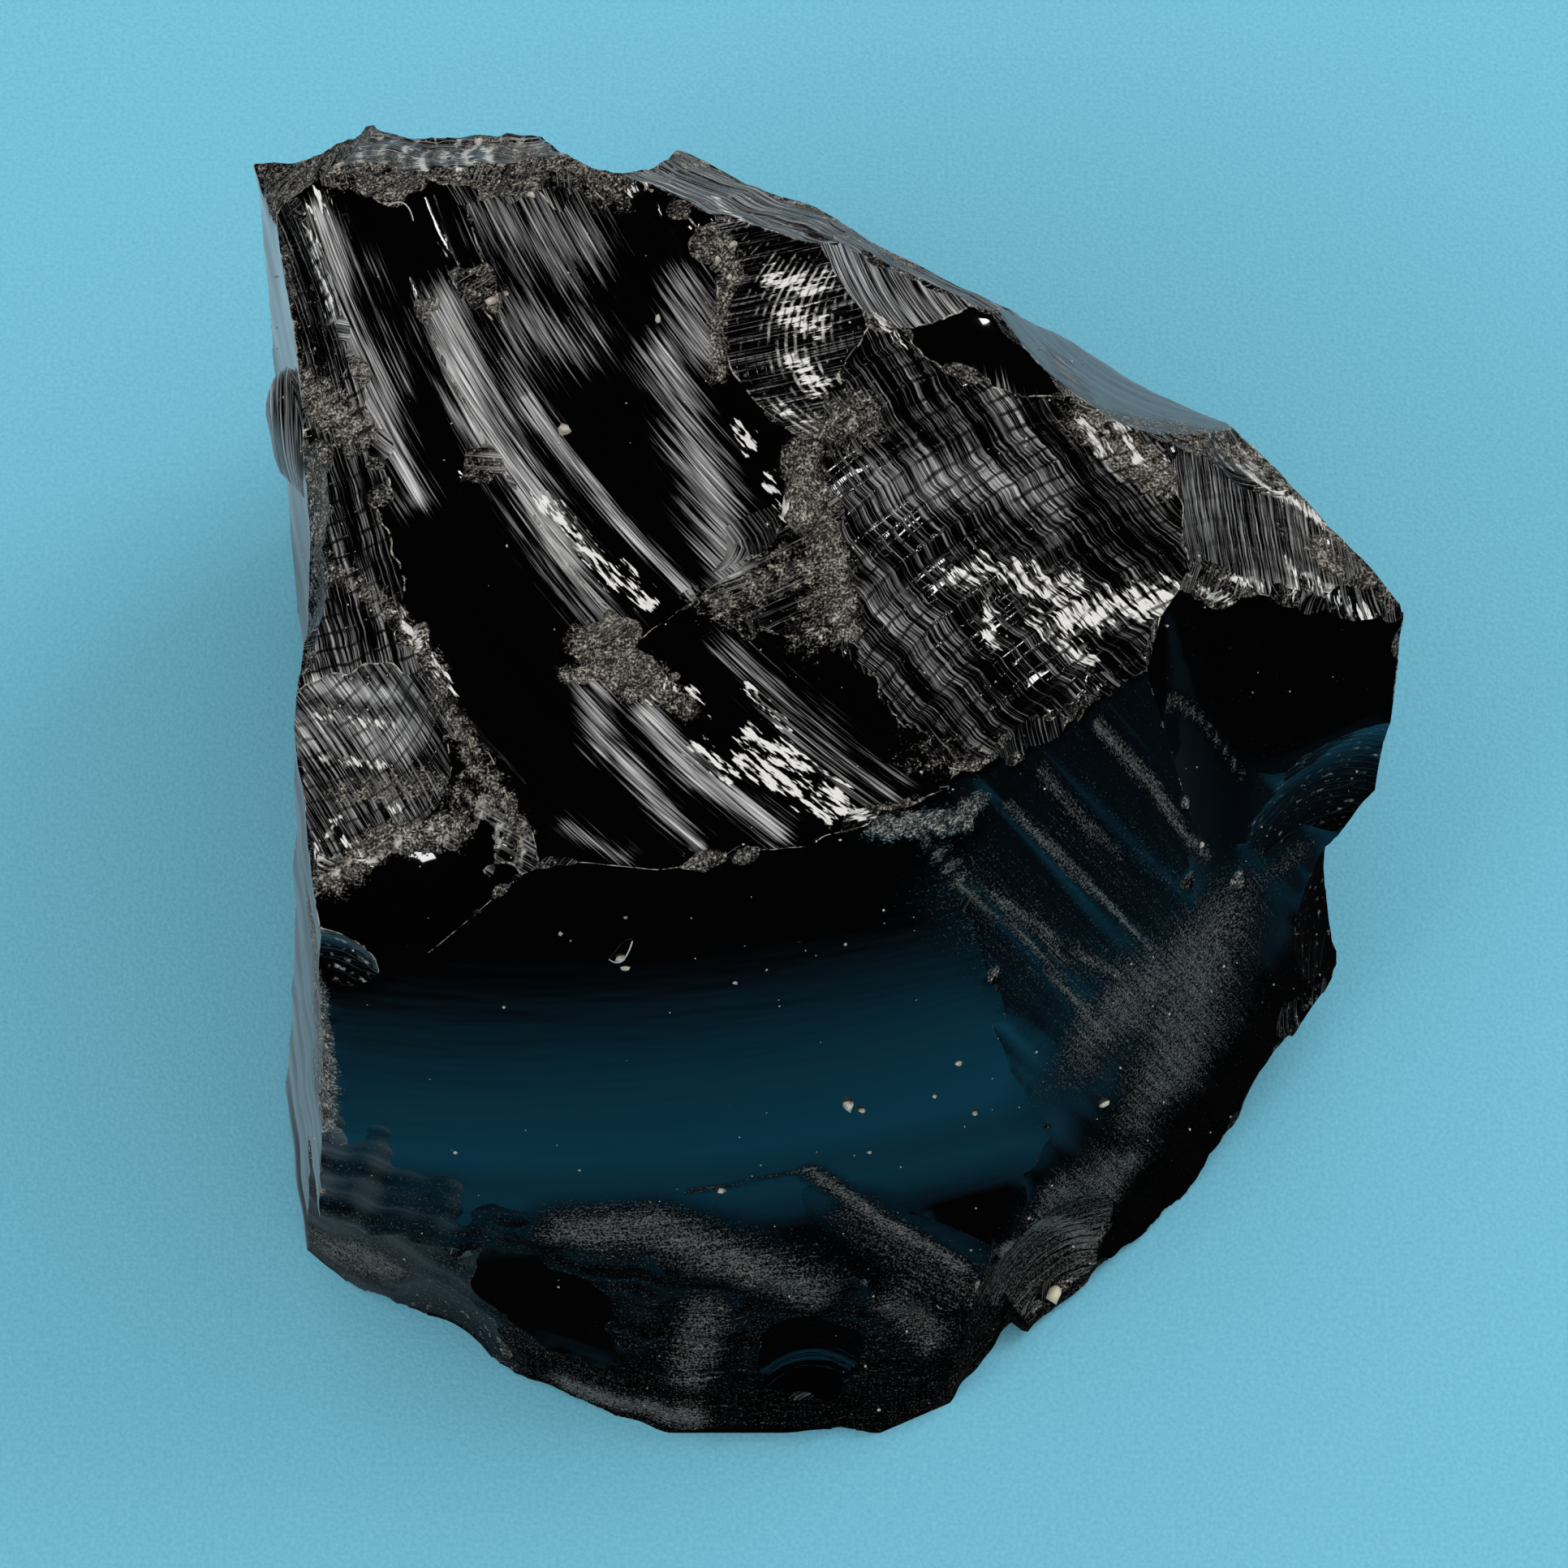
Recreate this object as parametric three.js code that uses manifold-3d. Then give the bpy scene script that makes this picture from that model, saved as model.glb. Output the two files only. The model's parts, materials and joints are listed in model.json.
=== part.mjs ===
// Raw chunk of obsidian, millimetres, +Z up.  X is the width, Y the length, Z the height.
// The chunk is a rough block knapped into shape: every flake scar is one cutter taken off it.
// The side of a cutter that faces the stone is a shallow bowl with the waves a fracture leaves.
import * as THREE from 'three';
import { mergeVertices } from 'three/addons/utils/BufferGeometryUtils.js';
import Module from 'manifold-3d';

// ---- Driving dimensions, mm ----
const WIDTH = 61;
const LENGTH = 70;
const HEIGHT = 51;
const REACH = 48;
const CLEARANCE = 25;
const TURN = 2 * Math.PI;

// ---- Flake scars, in the order they came off the block ----
// at: a point of the scar, mm.  face: compass bearing and lift of its outward normal, degrees.
// run: turn of the crack's direction away from the level line, degrees.
// hollow: radii of the bowl along and across the crack, mm (0 flat, minus means bulging).
// flute: pitch, height and bend radius of the furrows that follow the crack, mm.
// rough: height and pitch of uneven ground, mm.
// curl: sides where the crack turned outwards, each with its start and its radius, mm.
// size: limits of the cutter along and across, mm.  cell: spacing of its facets, mm.
const SCARS = {
  leftWall: {
    at: [-25.5, 0, 30], face: [180, 4], hollow: [0, 425], curl: [['u-', -5, 104], ['u+', 2, 60]],
    rough: [0.1, 15], cell: 4, seed: 1,
  },
  leftFront: { at: [-25.5, -24.6, 22], face: [-170.4, 7.3], rough: [0.1, 9], cell: 4, seed: 29 },
  backWall: {
    at: [-12.5, 28.5, 26.7], face: [91, 15], hollow: [0, 400],
    rough: [0.3, 17], cell: 5, seed: 2,
  },
  rightBackWall: {
    at: [17, 18.4, 25.1], face: [60, 23], hollow: [-450, 0],
    rough: [0.3, 16], cell: 5, seed: 3,
  },
  rightWall: { at: [29.3, -1.2, 27], face: [24, -5], rough: [0.2, 12], cell: 5, seed: 4 },
  shoulderWall: { at: [27, 2.1, 40.1], face: [40, 18], rough: [0.12, 9], cell: 4, seed: 30 },
  rightUnder: { at: [29.5, -9, 4], face: [-25, -25], cell: 6 },
  heel: { at: [-22.4, 28.4, 0], face: [130, -4], hollow: [200, 0], rough: [0.3, 13], cell: 5, seed: 26 },
  underBack: { at: [8, 32, 1.5], face: [75, -38], hollow: [30, 30], cell: 4, seed: 27 },
  underLeft: { at: [-29.2, 4, 1.2], face: [178, -40], hollow: [40, 30], cell: 4, seed: 28 },
  backRimLeft: { at: [-18, 20.4, 46.2], face: [92, 46], hollow: [40, 60], rough: [0.18, 7], seed: 5 },
  backRimMiddle: { at: [-4.5, 17.8, 47.2], face: [65, 42], hollow: [60, 60], rough: [0.15, 6], seed: 6 },
  backRimDip: {
    at: [-9.3, 18.2, 47.9], face: [95, 22], hollow: [2.4, 0],
    size: [-5, 5, -26, 8], cell: 1.6,
  },
  backCorner: { at: [-26.3, 21.1, 40.4], face: [140, 38], hollow: [14, 14], rough: [0.15, 5], seed: 7 },
  backRight: { at: [5.5, 15.2, 44.2], face: [56, 35], hollow: [40, 0], rough: [0.12, 6], seed: 8 },
  backShoulder: { at: [18.5, 7.6, 41.5], face: [73, 37], hollow: [13.5, 0], cell: 2, seed: 9 },
  shoulderNick: {
    at: [23.1, 4.8, 41], face: [50, 52], hollow: [6, 9],
    size: [-6, 6, -6, 6], cell: 1.6,
  },
  shoulder: { at: [22.6, -0.3, 42.1], face: [7, 62], hollow: [60, 26], cell: 2.2, seed: 10 },
  topFlute: {
    at: [-12.3, -0.5, 45.7], face: [-122, 83.6], run: -23, hollow: [200, 36],
    flute: [5.5, 0.25, -72], cell: 2, seed: 1,
  },
  topTrough: {
    at: [-8.2, 1.4, 45.3], face: [-122, 83.6], run: -19, hollow: [80, 17],
    flute: [4.1, 0.14, -72], size: [-22, 6.05, -9, 13], cell: 1.9, seed: 3,
  },
  topFan: {
    at: [9.3, -2.3, 44.6], face: [10, 80], run: -60, hollow: [30, 30],
    flute: [3.6, 0.17, 40], cell: 1.8, seed: 2,
  },
  topDrop: {
    at: [-1.7, 7.6, 47.9], face: [-80, 82], run: -177, hollow: [36, 14],
    size: [-12, 12, -12, 12], cell: 1.6, seed: 4,
  },
  topLeaf: {
    at: [-1.6, -4.8, 46.1], face: [140, 76], run: 152, hollow: [16, 9],
    size: [-9, 9, -8, 8], cell: 1.5, seed: 5,
  },
  rimFacet: {
    at: [4.6, 11.6, 47], face: [30, 60], hollow: [9, 12],
    size: [-10, 10, -10, 10], cell: 1.8, seed: 6,
  },
  rimDark: {
    at: [8.8, 10.6, 45.6], face: [5, 72], hollow: [14, 14],
    size: [-10, 10, -10, 10], cell: 1.9, seed: 7,
  },
  leftStrip: {
    at: [-21.8, -2.4, 45.1], face: [-164, 68], hollow: [90, 40],
    rough: [0.12, 4], cell: 2, seed: 11,
  },
  stripLow: {
    at: [-20.9, -11.6, 43.4], face: [-148, 66], hollow: [16, 12],
    size: [-12, 12, -12, 12], cell: 1.8,
  },
  stripHigh: { at: [-24.6, 8, 45.4], face: [-165, 62], hollow: [26, 8], size: [-12, 12, -9, 9], cell: 1.8 },
  corner: {
    at: [-20.5, -14.2, 44], face: [-118, 63], hollow: [22, 22], rough: [0.15, 3.4],
    size: [-14, 14, -14, 14], cell: 1.8, seed: 14,
  },
  front: {
    at: [-4, -22.8, 33], face: [-83, 18.5], hollow: [-80, -150],
    curl: [['v-', 12.5, 16]], cell: 3.2, seed: 15,
  },
  frontRoll: {
    at: [-21.5, -19.65, 40.5], face: [-90, 40.6], hollow: [9, -10.1],
    size: [-5, 10, -3.6, 9], cell: 1.4,
  },
  frontRight: {
    at: [16.6, -16.7, 25], face: [-46.4, 17.5], run: -75, hollow: [-340, 0],
    flute: [3.9, 0.16, 0], curl: [['v+', 9.5, 9]], cell: 2.4, seed: 16,
  },
  rightBlack: {
    at: [26.2, -5, 35.2], face: [-70, 25], hollow: [0, -90],
    curl: [['u-', 5, 3], ['v-', 14, 5]], cell: 2.6, seed: 17,
  },
  toe: { at: [-4, -31.2, 9.5], face: [-89, 22], hollow: [-75, 60], rough: [0.25, 6], cell: 2.3, seed: 18 },
  toeLeft: {
    at: [-16.4, -31.6, 1], face: [-114, 10], hollow: [-52, 0], rough: [0.15, 7],
    size: [-30, 30, -20, 13], cell: 2.4, seed: 19,
  },
  toeChip: { at: [-20, -28.3, 1], face: [-114, 14], hollow: [5.5, 12], size: [-7, 7, -7, 7], cell: 1.4 },
  toeNose: { at: [6.5, -33.9, 1], face: [-66.5, 8], cell: 4 },
  toeCorner: {
    at: [9.9, -30.8, 1], face: [-37, 8], rough: [0.15, 5], size: [-48, 2.9, -48, 48], cell: 2.6, seed: 20,
  },
  toeRight: {
    at: [17.6, -25.3, 1], face: [-52.4, 8], rough: [0.2, 6],
    size: [-8.5, 40, -48, 48], cell: 2.6, seed: 21,
  },
  rightLow: { at: [27.6, -13.9, 4], face: [-38, 6], rough: [0.2, 6], cell: 2.8, seed: 22 },
  notch: {
    at: [27.5, -8, 14.5], face: [-14, 6], hollow: [12, 16],
    size: [-12, 12, -12, 12], cell: 1.8, seed: 23,
  },
  notchShell: {
    at: [26.4, -7, 26.8], face: [-58, 15], hollow: [12, 12],
    size: [-8, 8, -8, 8], cell: 1.5,
  },
  halfRound: {
    at: [-23.7, -20, 38.8], face: [-97, 20], hollow: [7, 4.5],
    size: [-6, 6, -6, 6], cell: 1.1,
  },
  toeBlack: {
    at: [-14.5, -30.1, 8.5], face: [-102, 22], hollow: [26, 16],
    size: [-20, 20, -16, 16], cell: 2.2,
  },
  toeWedge: {
    at: [2.3, -27.2, 15.7], face: [-74, 27.5], run: -45, hollow: [60, 7],
    size: [-12, 12, -8, 8], cell: 1.8,
  },
  toeHollow: { at: [0.1, -31.2, 7.4], face: [-85, 18], hollow: [6, 7], size: [-9, 9, -9, 9], cell: 1.6 },
  toeRound: { at: [14, -25.4, 4.4], face: [-58, 24], hollow: [8, 8], size: [-9, 9, -9, 9], cell: 1.7 },
};

// The flat the chunk rests on, used only to find its edge.
const BASE = { at: [0, 0, 0], face: [0, -90] };

// ---- Ridges that have crumbled: the two faces that meet, the two ends, how many chips, chip width ----
const RIDGES = [
  ['topFlute', 'front', [-12.5, -18.4, 45.5], [3.5, -16.6, 46.5], 4, 0.7],
  ['topFan', 'frontRight', [6.5, -15, 46.5], [17, -5.5, 44.8], 5, 1],
  ['shoulder', 'rightBlack', [19.5, -4, 44], [29, -2.8, 38], 5, 1.3],
  ['backRimLeft', 'backWall', [-24, 24, 40], [-13, 24, 41], 6, 2.2],
  ['backRimMiddle', 'backWall', [-8.5, 23, 42], [-3, 22, 42], 3, 2],
  ['topFlute', 'backRimLeft', [-23, 17.5, 48.5], [-12, 18, 50], 5, 1.6],
  ['backRight', 'topFan', [7, 13, 45.5], [11, 10.5, 45], 3, 1.6],
  ['backShoulder', 'shoulder', [19, 6.5, 42], [24, 4.5, 40.5], 4, 1.6],
  ['shoulder', 'rightWall', [27, 3, 39.5], [30, -1.5, 38], 3, 1.6],
  ['leftWall', 'leftStrip', [-25, 3, 44.3], [-24.7, -6, 43.3], 4, 1.6],
  ['leftFront', 'front', [-24.1, -23, 32], [-27, -26, 12], 6, 1.2],
  ['frontRight', 'rightWall', [29.6, -5, 30], [29.6, -7, 25], 2, 1.8],
  ['rightLow', 'frontRight', [28.5, -11.5, 9], [25, -16, 3], 4, 1.6],
  ['toeLeft', 'base', [-25.5, -25.5, 0], [-11, -34, 0], 6, 2.2],
  ['toe', 'base', [-5, -35, 0], [5, -35, 0], 4, 2],
  ['toeRight', 'base', [13, -27.5, 0], [21, -21.8, 0], 4, 1.9],
];

// ---- Crushed lumps left standing: centre and half sizes, mm ----
const LUMPS = [
  [[-9.4, -6.2, 45], [1.8, 1.3, 0.9]],
  [[-8.2, -7.5, 44.9], [1.5, 1.5, 0.9]],
  [[-6.8, -8.3, 45], [1.3, 0.9, 0.8]],
  [[-0.2, 0.3, 46.9], [1.1, 1.6, 1]],
  [[-27.6, 18.3, 19.5], [2.6, 4.2, 6.5]],
];

const wasm = await Module();
wasm.setup();

const radians = (degrees) => degrees * Math.PI / 180;
const sine = (wave) => Math.sin(wave);

// Unit vector from a compass bearing and a lift above the level, degrees.
function direction([bearing, lift]) {
  const flat = Math.cos(radians(lift));
  return new THREE.Vector3(
    Math.cos(radians(bearing)) * flat, Math.sin(radians(bearing)) * flat, Math.sin(radians(lift)));
}

// Axes of a scar: u along the crack, v across it, w outwards.
function axes(scar) {
  const w = direction(scar.face);
  const level = new THREE.Vector3(0, 0, 1).cross(w);
  if (level.length() < 1e-6) {
    level.set(1, 0, 0);
  }
  level.normalize();
  const uphill = w.clone().cross(level);
  const turn = radians(scar.run ?? 0);
  const u = level.multiplyScalar(Math.cos(turn)).addScaledVector(uphill, Math.sin(turn));
  return { u, v: w.clone().cross(u), w };
}

// How far the surface of a scar stands off its own plane at (u, v), mm.
function relief(scar, u, v) {
  const seed = scar.seed ?? 0;
  const [alongRadius, acrossRadius] = scar.hollow ?? [0, 0];
  let height = 0;
  if (alongRadius) {
    height += u * u / (2 * alongRadius);
  }
  if (acrossRadius) {
    height += v * v / (2 * acrossRadius);
  }
  for (const [side, start, radius] of scar.curl ?? []) {
    const travel = { 'u+': u, 'u-': -u, 'v+': v, 'v-': -v }[side];
    const past = Math.max(0, travel - start);
    height += past * past / (2 * radius);
  }
  if (scar.flute) {
    const [pitch, tall, bend] = scar.flute;
    const q = bend ? v + u * u / (2 * bend) : v;
    const broad = sine(TURN * q / pitch + seed);
    const middle = 0.6 * sine(TURN * q / (pitch * 0.47) + 1.3 * seed + u * 0.05) * sine(u * 0.13 + seed);
    const fine = 0.35 * sine(TURN * q / (pitch * 0.27) + 2.1 * seed) * sine(u * 0.21 + 2 + seed);
    height += tall * (broad + middle + fine);
  }
  if (scar.rough) {
    const [tall, pitch] = scar.rough;
    const slow = sine(TURN * (u * 0.9 + v * 0.35) / pitch + seed)
      * sine(TURN * (v * 0.8 - u * 0.45) / pitch * 1.13 + 2 * seed);
    const quick = 0.6 * sine(TURN * (u * 0.6 - v * 0.8) / pitch * 1.9 + 3 * seed)
      * sine(TURN * (v * 0.55 + u * 0.85) / pitch * 1.7 + seed);
    height += tall * (slow + quick);
  }
  return height;
}

// Closed cutter over a scar: relief grid below, one flat lid above, walls between them.
function cutter(scar, cell) {
  const { u, v, w } = axes(scar);
  const [uLow, uHigh, vLow, vHigh] = scar.size ?? [-REACH, REACH, -REACH, REACH];
  const across = Math.max(1, Math.ceil((uHigh - uLow) / cell));
  const deep = Math.max(1, Math.ceil((vHigh - vLow) / cell));
  const points = [];
  const heights = [];
  for (let i = 0; i <= across; i += 1) {
    for (let j = 0; j <= deep; j += 1) {
      const a = uLow + (uHigh - uLow) * i / across;
      const b = vLow + (vHigh - vLow) * j / deep;
      points.push([a, b]);
      heights.push(relief(scar, a, b));
    }
  }
  const lid = Math.max(0, ...heights) + CLEARANCE;
  const rim = [];
  const at = (i, j) => i * (deep + 1) + j;
  for (let i = 0; i < across; i += 1) {
    rim.push(at(i, 0));
  }
  for (let j = 0; j < deep; j += 1) {
    rim.push(at(across, j));
  }
  for (let i = across; i > 0; i -= 1) {
    rim.push(at(i, deep));
  }
  for (let j = deep; j > 0; j -= 1) {
    rim.push(at(0, j));
  }
  const floorCount = points.length;
  for (const index of rim) {
    points.push(points[index]);
    heights.push(lid);
  }
  points.push([(uLow + uHigh) / 2, (vLow + vHigh) / 2]);
  heights.push(lid);
  const centre = points.length - 1;
  const triangles = [];
  for (let i = 0; i < across; i += 1) {
    for (let j = 0; j < deep; j += 1) {
      triangles.push(at(i, j), at(i + 1, j + 1), at(i + 1, j));
      triangles.push(at(i, j), at(i, j + 1), at(i + 1, j + 1));
    }
  }
  for (let k = 0; k < rim.length; k += 1) {
    const next = (k + 1) % rim.length;
    triangles.push(rim[k], rim[next], floorCount + next);
    triangles.push(rim[k], floorCount + next, floorCount + k);
    triangles.push(floorCount + k, floorCount + next, centre);
  }
  const origin = new THREE.Vector3(...scar.at);
  const vertices = points.flatMap(([a, b], index) => origin.clone()
    .addScaledVector(u, a).addScaledVector(v, b).addScaledVector(w, heights[index]).toArray());
  return toSolid(vertices, triangles);
}

function toSolid(vertices, triangles) {
  return new wasm.Manifold(new wasm.Mesh({
    numProp: 3, vertProperties: Float32Array.from(vertices), triVerts: Uint32Array.from(triangles),
  }));
}

// Settles a point onto the line where two scars meet, by a few Newton steps.
function settle(point, first, second) {
  for (let step = 0; step < 6; step += 1) {
    const [one, two] = [first, second].map((scar) => {
      const { u, v, w } = axes(scar);
      const offset = point.clone().sub(new THREE.Vector3(...scar.at));
      return { w, miss: offset.dot(w) - relief(scar, offset.dot(u), offset.dot(v)) };
    });
    const lean = one.w.dot(two.w);
    const share = 1 - lean * lean;
    point.addScaledVector(one.w, -(one.miss - lean * two.miss) / share);
    point.addScaledVector(two.w, -(two.miss - lean * one.miss) / share);
  }
  return point;
}

// Repeatable spread of numbers from 0 to 1.
const scatter = (index) => {
  const wave = sine(index * 12.9898 + 4.1414) * 43758.5453;
  return wave - Math.floor(wave);
};

// Small flake bites along a ridge, each a shallow facet facing away from both of its sides.
function bites() {
  const found = [];
  RIDGES.forEach(([firstName, secondName, from, to, count, width], ridge) => {
    const first = SCARS[firstName];
    const second = SCARS[secondName] ?? BASE;
    const start = new THREE.Vector3(...from);
    const end = new THREE.Vector3(...to);
    for (let k = 0; k < count; k += 1) {
      const index = ridge * 40 + k;
      const share = (k + 0.2 + 0.6 * scatter(index)) / count;
      const point = settle(start.clone().lerp(end, share), first, second);
      const outward = axes(first).w.add(axes(second).w).normalize();
      const reach = width * (0.6 + 0.8 * scatter(index + 7));
      point.addScaledVector(outward, -0.32 * reach);
      const bearing = Math.atan2(outward.y, outward.x) * 180 / Math.PI + 30 * (scatter(index + 3) - 0.5);
      const lift = Math.asin(outward.z) * 180 / Math.PI + 24 * (scatter(index + 5) - 0.5);
      found.push({
        at: point.toArray(), face: [bearing, lift], run: 90 * scatter(index + 9),
        hollow: [4 * reach, 3 * reach], size: [-2 * reach, 2 * reach, -2 * reach, 2 * reach],
        cell: 1.4 * reach,
      });
    }
  });
  return found;
}

// Lumpy ball: an icosphere pushed in and out by slow waves.
function lump([centre, halfSizes], index) {
  const ball = new THREE.IcosahedronGeometry(1, 1);
  ball.deleteAttribute('normal');
  ball.deleteAttribute('uv');
  const merged = mergeVertices(ball, 1e-4);
  const place = merged.attributes.position;
  const vertices = [];
  for (let k = 0; k < place.count; k += 1) {
    const p = new THREE.Vector3().fromBufferAttribute(place, k);
    const swell = 1 + 0.16 * sine(4 * p.x + index) * sine(3 * p.y + 2 * index + p.z);
    vertices.push(
      centre[0] + p.x * swell * halfSizes[0],
      centre[1] + p.y * swell * halfSizes[1],
      centre[2] + p.z * swell * halfSizes[2]);
  }
  return toSolid(vertices, Array.from(merged.index.array));
}

// ---- The chunk: block, lumps left standing, scars taken off in order ----
function rawBlock() {
  const box = new THREE.BoxGeometry(WIDTH, LENGTH, HEIGHT);
  box.deleteAttribute('normal');
  box.deleteAttribute('uv');
  box.translate(0, 0, HEIGHT / 2);
  const merged = mergeVertices(box);
  return toSolid(merged.attributes.position.array, merged.index.array);
}

let stone = rawBlock();
for (const scar of Object.values(SCARS)) {
  stone = stone.subtract(cutter(scar, scar.cell ?? 2.4));
}
LUMPS.forEach((entry, index) => {
  stone = stone.add(lump(entry, index));
});
for (const bite of bites()) {
  stone = stone.subtract(cutter(bite, bite.cell));
}

const cut = stone.getMesh();
const geometry = new THREE.BufferGeometry();
geometry.setAttribute('position', new THREE.BufferAttribute(Float32Array.from(cut.vertProperties), 3));
geometry.setIndex(Array.from(cut.triVerts));
geometry.computeVertexNormals();

const glass = new THREE.MeshStandardMaterial({
  color: 0x0b0c0e, roughness: 0.12, metalness: 0, flatShading: true,
});
const chunk = new THREE.Mesh(geometry, glass);
chunk.name = 'obsidian_chunk';

const part = new THREE.Group();
part.name = 'raw_obsidian';
part.add(chunk);

export default part;
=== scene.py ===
import json
import math

import bpy
import numpy as np
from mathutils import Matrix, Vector

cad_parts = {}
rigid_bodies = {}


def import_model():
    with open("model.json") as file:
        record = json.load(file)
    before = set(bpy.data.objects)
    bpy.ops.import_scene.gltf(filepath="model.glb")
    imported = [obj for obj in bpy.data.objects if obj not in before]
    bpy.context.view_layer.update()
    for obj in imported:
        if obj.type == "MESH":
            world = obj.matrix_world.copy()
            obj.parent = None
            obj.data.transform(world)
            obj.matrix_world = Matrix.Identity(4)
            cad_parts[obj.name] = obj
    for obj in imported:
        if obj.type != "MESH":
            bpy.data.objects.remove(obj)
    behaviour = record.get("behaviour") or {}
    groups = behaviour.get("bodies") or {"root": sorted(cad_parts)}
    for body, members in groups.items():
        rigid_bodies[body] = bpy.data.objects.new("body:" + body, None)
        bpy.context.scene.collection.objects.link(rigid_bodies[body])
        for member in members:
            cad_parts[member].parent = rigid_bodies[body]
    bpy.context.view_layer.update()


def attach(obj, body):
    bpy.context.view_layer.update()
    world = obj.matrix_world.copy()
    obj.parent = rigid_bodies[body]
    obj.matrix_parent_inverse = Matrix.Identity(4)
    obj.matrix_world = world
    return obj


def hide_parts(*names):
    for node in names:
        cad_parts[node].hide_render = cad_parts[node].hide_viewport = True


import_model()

# A raw chunk of black obsidian.  The chunk is knapped as the solid is: a block less one cutter for
# every flake scar, with finer cutters and the steps, ripples and crumbled rims that the solid leaves out.
# Lengths in the tables are millimetres; the finished pieces are in metres.
MM = 0.001
TURN = 2 * math.pi
BLOCK = np.array([61.0, 70.0, 51.0])
CLEARANCE = 25.0                                   # from a cutter's highest place to its lid
CELL_FACTOR, BITS = ((1, 420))   # coarseness of cutters; how many small bites, and specks
BITE_SEED, SPECK_SEED = 11, 5

# How deep each finish sinks the surface and how large its grains are, in millimetres.
STROKE_SINK, GLINT_SINK, CRUSH_SINK, GRIT_SINK, RIDGE_SINK, DUST_SINK = 0.05, 0.05, 0.16, 0.07, 0.05, 0.02
FURROW_LONG, FURROW_WIDE, GRIT, FINE_GRIT = 2.2, 0.42, 0.62, 0.3
RIDGE_FADE = 0.35      # wear falls to about a third over this distance from a ridge
RIDGE_PASSES = 16      # edges over which that distance is counted
EDGE_LINE = 0.07       # how far the pale line along a ridge reaches; the front scars have none

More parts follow.
